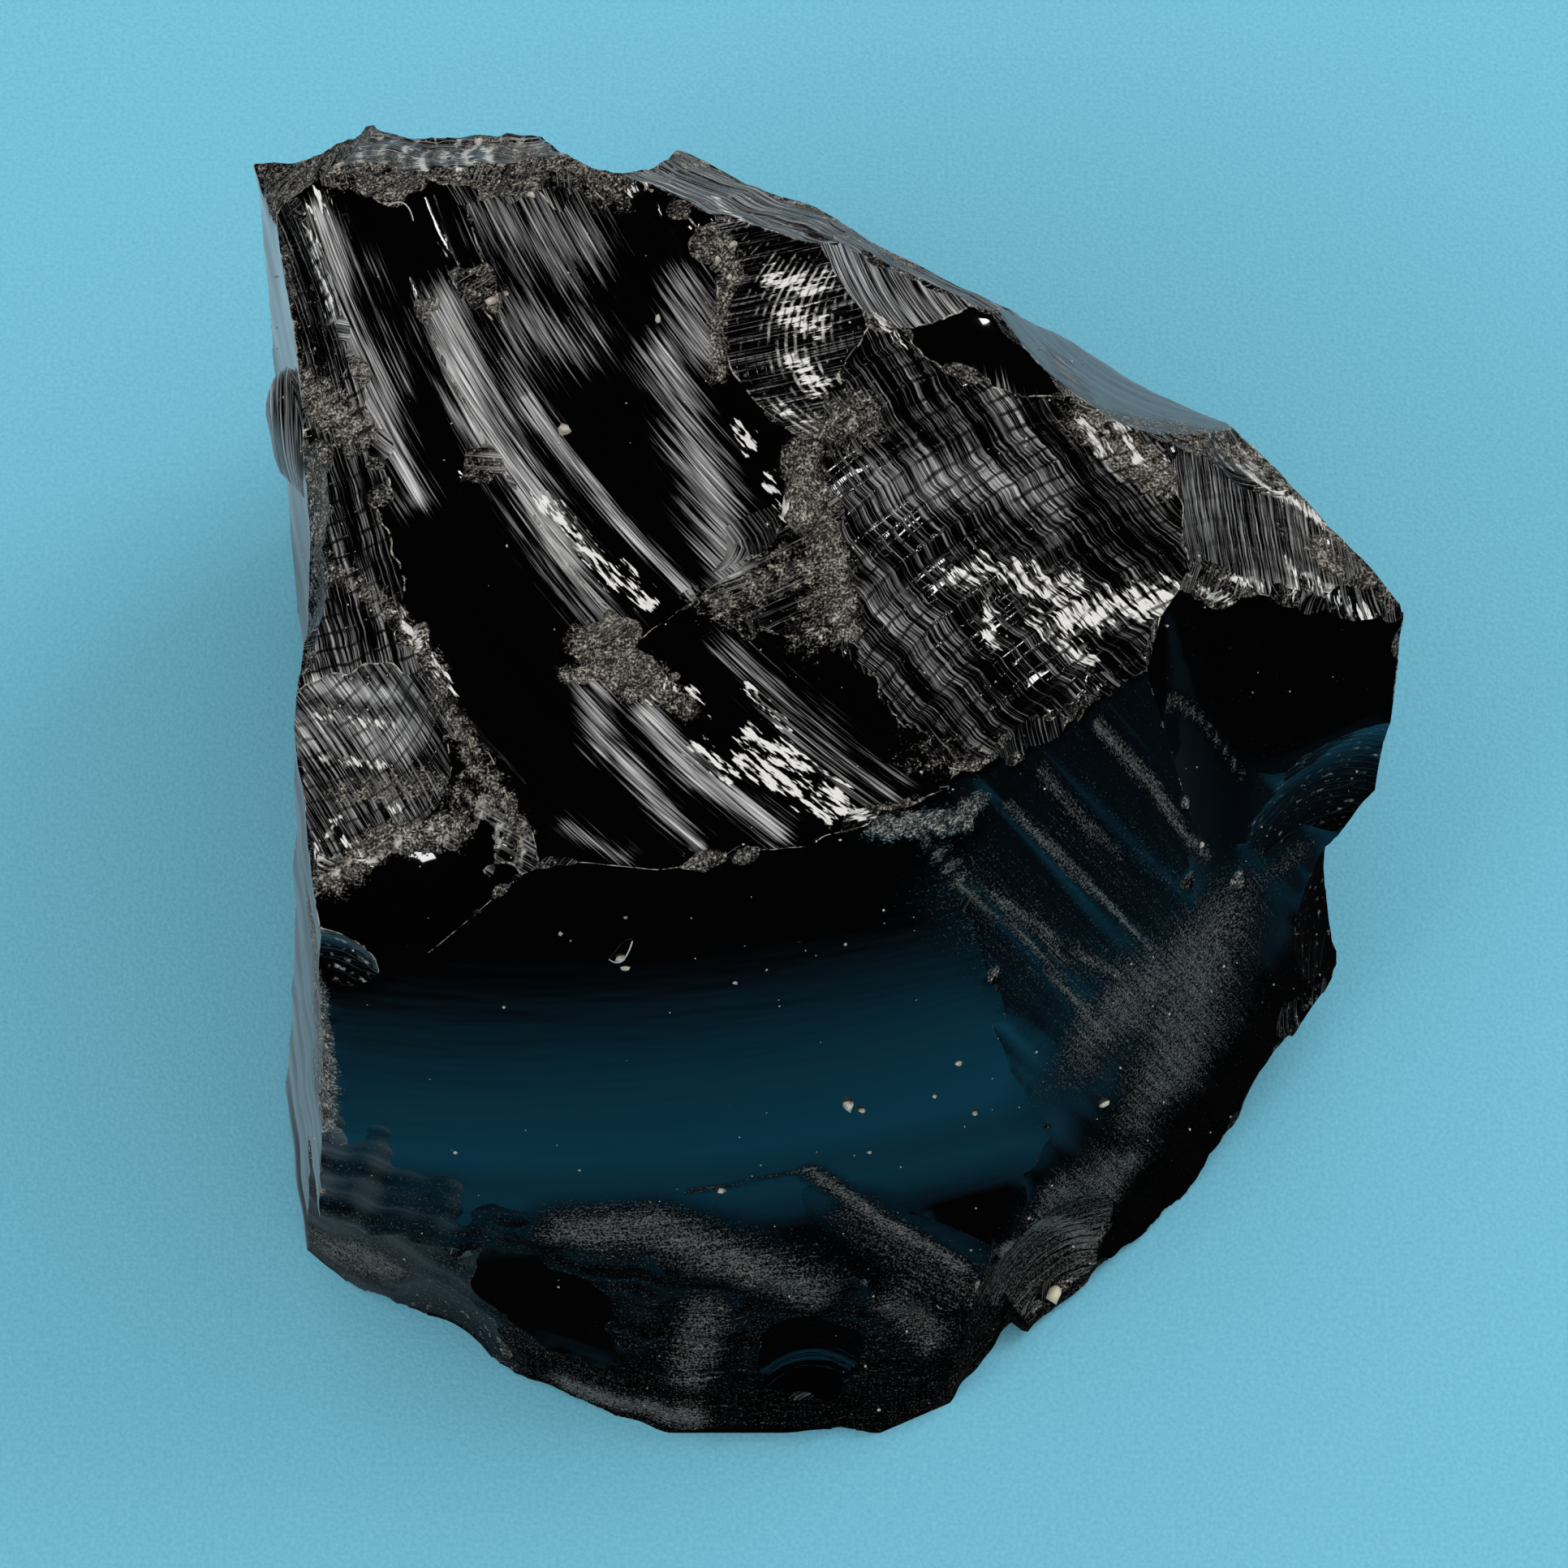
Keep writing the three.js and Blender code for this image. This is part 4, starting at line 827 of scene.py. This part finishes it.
def obsidian_glass():
    """Obsidian, a natural glass, left as it broke.  Clean scars are black mirrors; where the crack ran rough
    the surface breaks up into grey brush strokes, partly frosting and partly painted sheen, and painted white
    glints, ledges show as dark lines, ripple crests carry painted highlights, and crushed rims and settled dust
    are grainy beige grey."""
    material, tree = new_material("obsidian_broken_glass")
    place = add(tree, "TexCoord", out="Object")
    spaces = {
        "grain": add(tree, "Attribute", out="Vector", attribute_name="grain"),
        "millimetres": add(tree, "Mapping", {"Vector": place, "Scale": (1000.0, 1000.0, 1000.0)}),
    }
    strokes, painted_glint_mask, crush, dust, lines, crest_highlight_level, phase, worn = (
        add(tree, "Attribute", out="Fac", attribute_name=name)
        for name in ("strokes", "painted_glint_mask", "crush", "dust", "lines", "crest_highlight_level", "phase", "worn"))
    noise = {}
    for name, (space, scale, start, layers) in PATTERNS.items():
        spot = add(tree, "Mapping", {"Vector": spaces[space], "Scale": scale, "Location": (start, start, 0.0)})
        noise[name] = add(tree, "TexNoise", {"Vector": spot, "Scale": 1.0, "Detail": layers, "Roughness": 0.6},
                          out="Fac")
    bands, hair, dabs, cross, patch, clots, grit, flow = (noise[name] for name in PATTERNS)

    # Ledges and ripples: a dark line at each whole step and a pale crest between two of them, both broken; the
    # pale crest is a painted highlight.
    wander = add(tree, "Math", (patch, 0.5, phase), operation="MULTIPLY_ADD")
    share = add(tree, "Math", (wander,), operation="FRACT")
    off_middle, off_crest = (
        add(tree, "Math", (add(tree, "Math", (share, middle), operation="SUBTRACT"),), operation="ABSOLUTE")
        for middle in (0.5, 0.42))
    ledge = add(tree, "MapRange", (off_middle, 0.35, 0.45), interpolation_type="SMOOTHSTEP")
    for factor in (lines, add(tree, "MapRange", (bands, 0.35, 0.55, 0.15, 1.0))):
        ledge = add(tree, "Math", (ledge, factor), operation="MULTIPLY")
    hatch = add(tree, "MapRange", (cross, 0.52, 0.64), interpolation_type="SMOOTHSTEP")
    for factor in (lines, add(tree, "MapRange", (patch, 0.42, 0.62, 0.0, 0.6))):
        hatch = add(tree, "Math", (hatch, factor), operation="MULTIPLY")
    open_ground = add(tree, "Math", (1.0, add(tree, "Math", (ledge, 0.95), operation="MULTIPLY")),
                      operation="SUBTRACT")
    # Painted highlight on the ripple crests.
    painted_crest_cover = add(tree, "MapRange", (off_crest, 0.24, 0.06), interpolation_type="SMOOTHSTEP")
    broken = add(tree, "Math", (painted_glint_mask, 0.35, clots), operation="MULTIPLY_ADD")
    broken = add(tree, "Math", (crest_highlight_level, 0.55, broken), operation="MULTIPLY_ADD")
    broken = add(tree, "MapRange", (broken, 0.78, 1.1), interpolation_type="SMOOTHSTEP")
    for factor in (broken, add(tree, "MapRange", (crest_highlight_level, 0.0, 0.5)), open_ground):
        painted_crest_cover = add(tree, "Math", (painted_crest_cover, factor), operation="MULTIPLY")

    # Brush strokes: fuller where the mark is strong, feathered into single hairs at its ends.  Their grey is
    # partly frosting and partly painted sheen.
    fullness = add(tree, "Math", (hair, 2.8), operation="MULTIPLY")
    fullness = add(tree, "Math", (bands, 0.9, fullness), operation="MULTIPLY_ADD")
    fullness = add(tree, "Math", (strokes, 1.05, fullness), operation="MULTIPLY_ADD")
    bare = 2.16
    frost_and_sheen = add(tree, "MapRange", (fullness, bare, 2.48), interpolation_type="SMOOTHSTEP")
    for factor in (add(tree, "Math", (1.0, hatch), operation="SUBTRACT"),
                   add(tree, "MapRange", (strokes, 0.05, 0.3))):
        frost_and_sheen = add(tree, "Math", (frost_and_sheen, factor), operation="MULTIPLY")
    paleness = add(tree, "Math", (add(tree, "MapRange", (fullness, bare, 3.16)), 1.8), operation="POWER")
    # Painted glints: small white dabs standing for light caught by the broken surface.
    painted_glint_cover = add(tree, "Math", (painted_glint_mask, 0.36, dabs), operation="MULTIPLY_ADD")
    painted_glint_cover = add(tree, "MapRange", (painted_glint_cover, 0.8, 0.88), interpolation_type="SMOOTHSTEP")
    painted_glint_cover = add(tree, "Math", (painted_glint_cover, open_ground), operation="MULTIPLY")

    # Crushed rims: mostly dark, with clots of pale grains, also along every ridge.
    rim = add(tree, "MapRange", (worn, 0.2, 0.02), interpolation_type="SMOOTHSTEP")
    rim = add(tree, "Math", (rim, add(tree, "MapRange", (patch, 0.5, 0.7))), operation="MULTIPLY")
    rubble = add(tree, "Math", (crush, rim), operation="MAXIMUM")
    lumpy = add(tree, "Math", (clots, 0.6, add(tree, "Math", (grit, 0.6), operation="MULTIPLY")),
                operation="MULTIPLY_ADD")
    crushed = add(tree, "Math", (rubble, 0.75, lumpy), operation="MULTIPLY_ADD")
    crushed = add(tree, "MapRange", (crushed, 0.86, 1.12), interpolation_type="SMOOTHSTEP")
    pale_grain = add(tree, "Math", (clots, 0.4, grit), operation="MULTIPLY_ADD")
    pale_grain = add(tree, "Math", (add(tree, "MapRange", (pale_grain, 0.62, 1.0)), 1.6), operation="POWER")
    dusty = add(tree, "Math", (hair, 0.35, grit), operation="MULTIPLY_ADD")
    dusty = add(tree, "Math", (dust, 0.6, dusty), operation="MULTIPLY_ADD")
    dusty = add(tree, "MapRange", (dusty, 0.94, 1.2), interpolation_type="SMOOTHSTEP")

    # A thin pale line along each ridge, broken up.
    edge_line = add(tree, "MapRange", (worn, EDGE_LINE, 0.02), interpolation_type="SMOOTHSTEP")
    edge_line = add(tree, "Math", (edge_line, add(tree, "MapRange", (clots, 0.44, 0.62))), operation="MULTIPLY")

    # Black glass, and over it each finish in turn: the stroke grey is frosting with painted sheen, the crests
    # and glints are painted highlights.
    frost_and_sheen_colour, dust_colour, crush_colour = (
        add(tree, "Mix", {0: tone, 6: linear(dark), 7: linear(light)}, out=2, data_type="RGBA")
        for tone, dark, light in ((paleness, "#0e0e0f", "#e4e4e6"), (clots, "#303031", "#93928f"),
                                  (pale_grain, "#2a2420", "#fff8ea")))
    colour = linear("#030304")
    for cover, over in ((frost_and_sheen, frost_and_sheen_colour), (dusty, dust_colour), (crushed, crush_colour),
                        (edge_line, linear("#cbc4b8")), (ledge, linear("#060505")),
                        (painted_crest_cover, linear("#dcdad6")), (painted_glint_cover, linear("#f6f5f2"))):
        colour = add(tree, "Mix", {0: cover, 6: colour, 7: over}, out=2, data_type="RGBA")

    # A film of dust and the brushed frost take the shine off.
    film = add(tree, "MapRange", (dust, 0.12, 0.5))
    dull = add(tree, "Math", (frost_and_sheen, 0.75), operation="MULTIPLY")
    dull = add(tree, "Math", (film, dull), operation="MAXIMUM")
    shine = add(tree, "Math", (dull, -0.42, 0.5), operation="MULTIPLY_ADD")
    rough = add(tree, "Math", (dull, 0.45, 0.04), operation="MULTIPLY_ADD")
    for cover, value in ((dusty, 0.6), (crushed, 0.5), (edge_line, 0.4), (painted_crest_cover, 0.3), (painted_glint_cover, 0.35)):
        rough = add(tree, "Math", (rough, add(tree, "Math", (cover, value), operation="MULTIPLY")),
                    operation="MAXIMUM")

    # Heights in millimetres: strokes 0.03, ledges 0.05, crushed grains 0.12, dust 0.06, slow waves 0.03.
    height = add(tree, "Math", (add(tree, "Math", (hair, frost_and_sheen), operation="MULTIPLY"), 0.03),
                 operation="MULTIPLY")
    height = add(tree, "Math", (ledge, -0.05, height), operation="MULTIPLY_ADD")
    for cover, tall in ((crushed, 0.12), (dusty, 0.06)):
        grains = add(tree, "Math", (grit, cover), operation="MULTIPLY")
        height = add(tree, "Math", (grains, tall, height), operation="MULTIPLY_ADD")
    height = add(tree, "Math", (flow, 0.03, height), operation="MULTIPLY_ADD")
    bump = add(tree, "Bump", {"Height": height, "Distance": MM, "Strength": 0.8})

    surface = add(tree, "BsdfPrincipled", {"Base Color": colour, "Roughness": rough, "IOR": 1.5,
                                           "Specular IOR Level": shine, "Normal": bump})
    add(tree, "OutputMaterial", {"Surface": surface})
    return material


def grainy(name, dark, light, roughness, per_metre):
    """A dull finish whose colour wanders between two tones, at so many grains to the metre, 0.04 mm proud."""
    material, tree = new_material(name)
    place = add(tree, "TexCoord", out="Object")
    tone = add(tree, "TexNoise", {"Vector": place, "Scale": per_metre, "Detail": 2.0}, out="Fac")
    tone = add(tree, "MapRange", (tone, 0.3, 0.7))
    colour = add(tree, "Mix", {0: tone, 6: linear(dark), 7: linear(light)}, out=2, data_type="RGBA")
    bump = add(tree, "Bump", {"Height": tone, "Distance": 0.04 * MM, "Strength": 0.6})
    surface = add(tree, "BsdfPrincipled",
                  {"Base Color": colour, "Roughness": roughness, "IOR": 1.5, "Normal": bump})
    add(tree, "OutputMaterial", {"Surface": surface})
    return material


def painted_board():
    """Pale blue painted board: matt, with a tooth of 0.24 mm.  Seen in the stone its colour is a painted
    reflection:
    paler behind, and in front painted shade at the stone's foot, to the right and away from the stone, as a
    small board in a dark room would show.  Places and lengths are in metres."""
    material, tree = new_material("board_matt_paint")
    place = add(tree, "TexCoord", out="Object")
    tooth = add(tree, "TexNoise", {"Vector": place, "Scale": 4200.0, "Detail": 3.0}, out="Fac")
    paint = add(tree, "Mix", {0: tooth, 6: linear("#64c0e3"), 7: linear("#92e2fb")}, out=2, data_type="RGBA")
    across, along = (add(tree, "SeparateXYZ", (place,), out=name) for name in "XY")
    in_front = add(tree, "Math", (across, -0.9, along), operation="MULTIPLY_ADD")
    in_front = add(tree, "MapRange", (in_front, -0.006, -0.018))
    right = add(tree, "MapRange", (across, 0.026, 0.046, 0.0, 0.92))
    # Painted shadow at the stone's foot: where the mirrored ray is short the board darkens, in the stone only.
    foot = add(tree, "MapRange", (add(tree, "LightPath", out="Ray Length"), 0.034, 0.020))
    distance = add(tree, "VectorMath", (place,), out="Value", operation="LENGTH")
    distance = add(tree, "Math", (in_front, 0.030, distance), operation="MULTIPLY_ADD")
    away = add(tree, "MapRange", (distance, 0.080, 0.127), interpolation_type="SMOOTHSTEP")
    painted_shade = add(tree, "Math", (foot, right), operation="MAXIMUM")
    painted_shade = add(tree, "Math", (painted_shade, in_front), operation="MULTIPLY")
    painted_shade = add(tree, "Math", (painted_shade, away), operation="MAXIMUM")
    # The board as the stone mirrors it: a painted reflection, pale behind and teal in front, then painted shade
    # over it.
    mirrored = add(tree, "Mix", {0: in_front, 6: linear("#a4cde2"), 7: linear("#2ab2e5")},
                   out=2, data_type="RGBA")
    mirrored = add(tree, "Mix", {0: painted_shade, 6: mirrored, 7: linear("#04060a")}, out=2, data_type="RGBA")
    seen_in_stone = add(tree, "LightPath", out="Is Glossy Ray")
    paint = add(tree, "Mix", {0: seen_in_stone, 6: paint, 7: mirrored}, out=2, data_type="RGBA")
    bump = add(tree, "Bump", {"Height": tooth, "Distance": 0.08 * MM, "Strength": 0.5})
    surface = add(tree, "BsdfPrincipled",
                  {"Base Color": paint, "Roughness": 0.75, "IOR": 1.45, "Normal": bump})
    add(tree, "OutputMaterial", {"Surface": surface})
    return material


# ---------------------------------------------------------------- build

stone, owners = knapped_stone()
finish_stone(stone, owners)
stone.data.materials.clear()
stone.data.materials.append(obsidian_glass())
stone.data.polygons.foreach_set("material_index", np.zeros(len(stone.data.polygons), np.int32))
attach(stone, "root")
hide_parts("obsidian_chunk")


def lay(mesh, material):
    """Puts a small piece on the chunk."""
    piece = bpy.data.objects.new(mesh.name, mesh)
    bpy.context.scene.collection.objects.link(piece)
    mesh.materials.append(material)
    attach(piece, "root")


# Crushed glass and household dust look off-white; the sand grain is cream quartz; lint is pale cotton.
dust_finish = grainy("glass_dust_loose", "#8f887c", "#e9e3d7", 0.7, 2500.0)
lay(crumbs("crumbs", [place for place, _ in CRUMBS], [size for _, size in CRUMBS], seed=3), dust_finish)
lay(crumbs("specks", *specks_spread(stone.data, BITS), seed=4), dust_finish)
lay(crumbs("sand_grain", [SAND_PLACE], [SAND_SIZE], seed=8),
    grainy("quartz_sand_worn", "#c9b98f", "#f4ead0", 0.45, 1200.0))
lay(mesh_of("lint", [fibre(path, FIBRE_RADIUS, 0) for path in FIBRES]),
    grainy("cotton_lint", "#a9a9a6", "#dcdcd9", 0.85, 3000.0))

reach = 1.2     # half the board's side, in metres
floor_mesh = bpy.data.meshes.new("floor")
floor_mesh.from_pydata([(-reach, -reach, 0), (reach, -reach, 0), (reach, reach, 0), (-reach, reach, 0)],
                       [], [(0, 1, 2, 3)])
floor = bpy.data.objects.new("floor", floor_mesh)
bpy.context.scene.collection.objects.link(floor)
floor_mesh.materials.append(painted_board())


def softbox(name, bearing, lift, distance, width, height, radiance, mirrored):
    """A rectangle of light aimed at the chunk; power is radiance times pi times area.  A mirrored one shows
    only as a glint in the glass, the others only light it."""
    light = bpy.data.lights.new(name, "AREA")
    light.shape, light.size, light.size_y = "RECTANGLE", width, height
    light.energy = radiance * math.pi * width * height
    lamp = bpy.data.objects.new(name, light)
    lamp.visible_glossy, lamp.visible_diffuse = mirrored, not mirrored
    a, e = math.radians(bearing), math.radians(lift)
    back = Vector((math.cos(a) * math.cos(e), math.sin(a) * math.cos(e), math.sin(e)))
    lamp.location = Vector((0, 0, 0.03)) + back * distance
    lamp.rotation_euler = (-back).to_track_quat("-Z", "Y").to_euler()
    bpy.context.scene.collection.objects.link(lamp)


# Bearing and lift in degrees, distance, width and height in metres, radiance, and whether it is mirrored.
for settings in (("window_right", 35, 48, 0.7, 0.30, 0.26, 5, False),
                 ("window_left", 215, 42, 0.7, 0.28, 0.24, 3.5, False),
                 ("pane_right", 35, 48, 0.69, 0.10, 0.08, 24, True),
                 ("pane_left", 215, 42, 0.69, 0.10, 0.08, 20, True)):
    softbox(*settings)

world = bpy.data.worlds.new("studio")
bpy.context.scene.world = world
world.use_nodes = True
world.node_tree.nodes.clear()
background = add(world.node_tree, "Background", {"Color": linear("#d4d3d0"), "Strength": 0.95})
add(world.node_tree, "OutputWorld", {"Surface": background})
world.cycles_visibility.glossy = False
bpy.context.scene.view_settings.view_transform = "Standard"

aim, distance, lift = Vector((-0.0011, -0.0057, 0.025)), 0.233, math.radians(68)
lens = bpy.data.cameras.new("camera")
lens.lens, lens.sensor_width = 100, 36
camera = bpy.data.objects.new("camera", lens)
back_off = Vector((0, -math.cos(lift), math.sin(lift)))
camera.location = aim + back_off * distance
camera.rotation_euler = (-back_off).to_track_quat("-Z", "Y").to_euler()
lens.clip_start, lens.clip_end = 0.01, 10
bpy.context.scene.collection.objects.link(camera)
bpy.context.scene.camera = camera
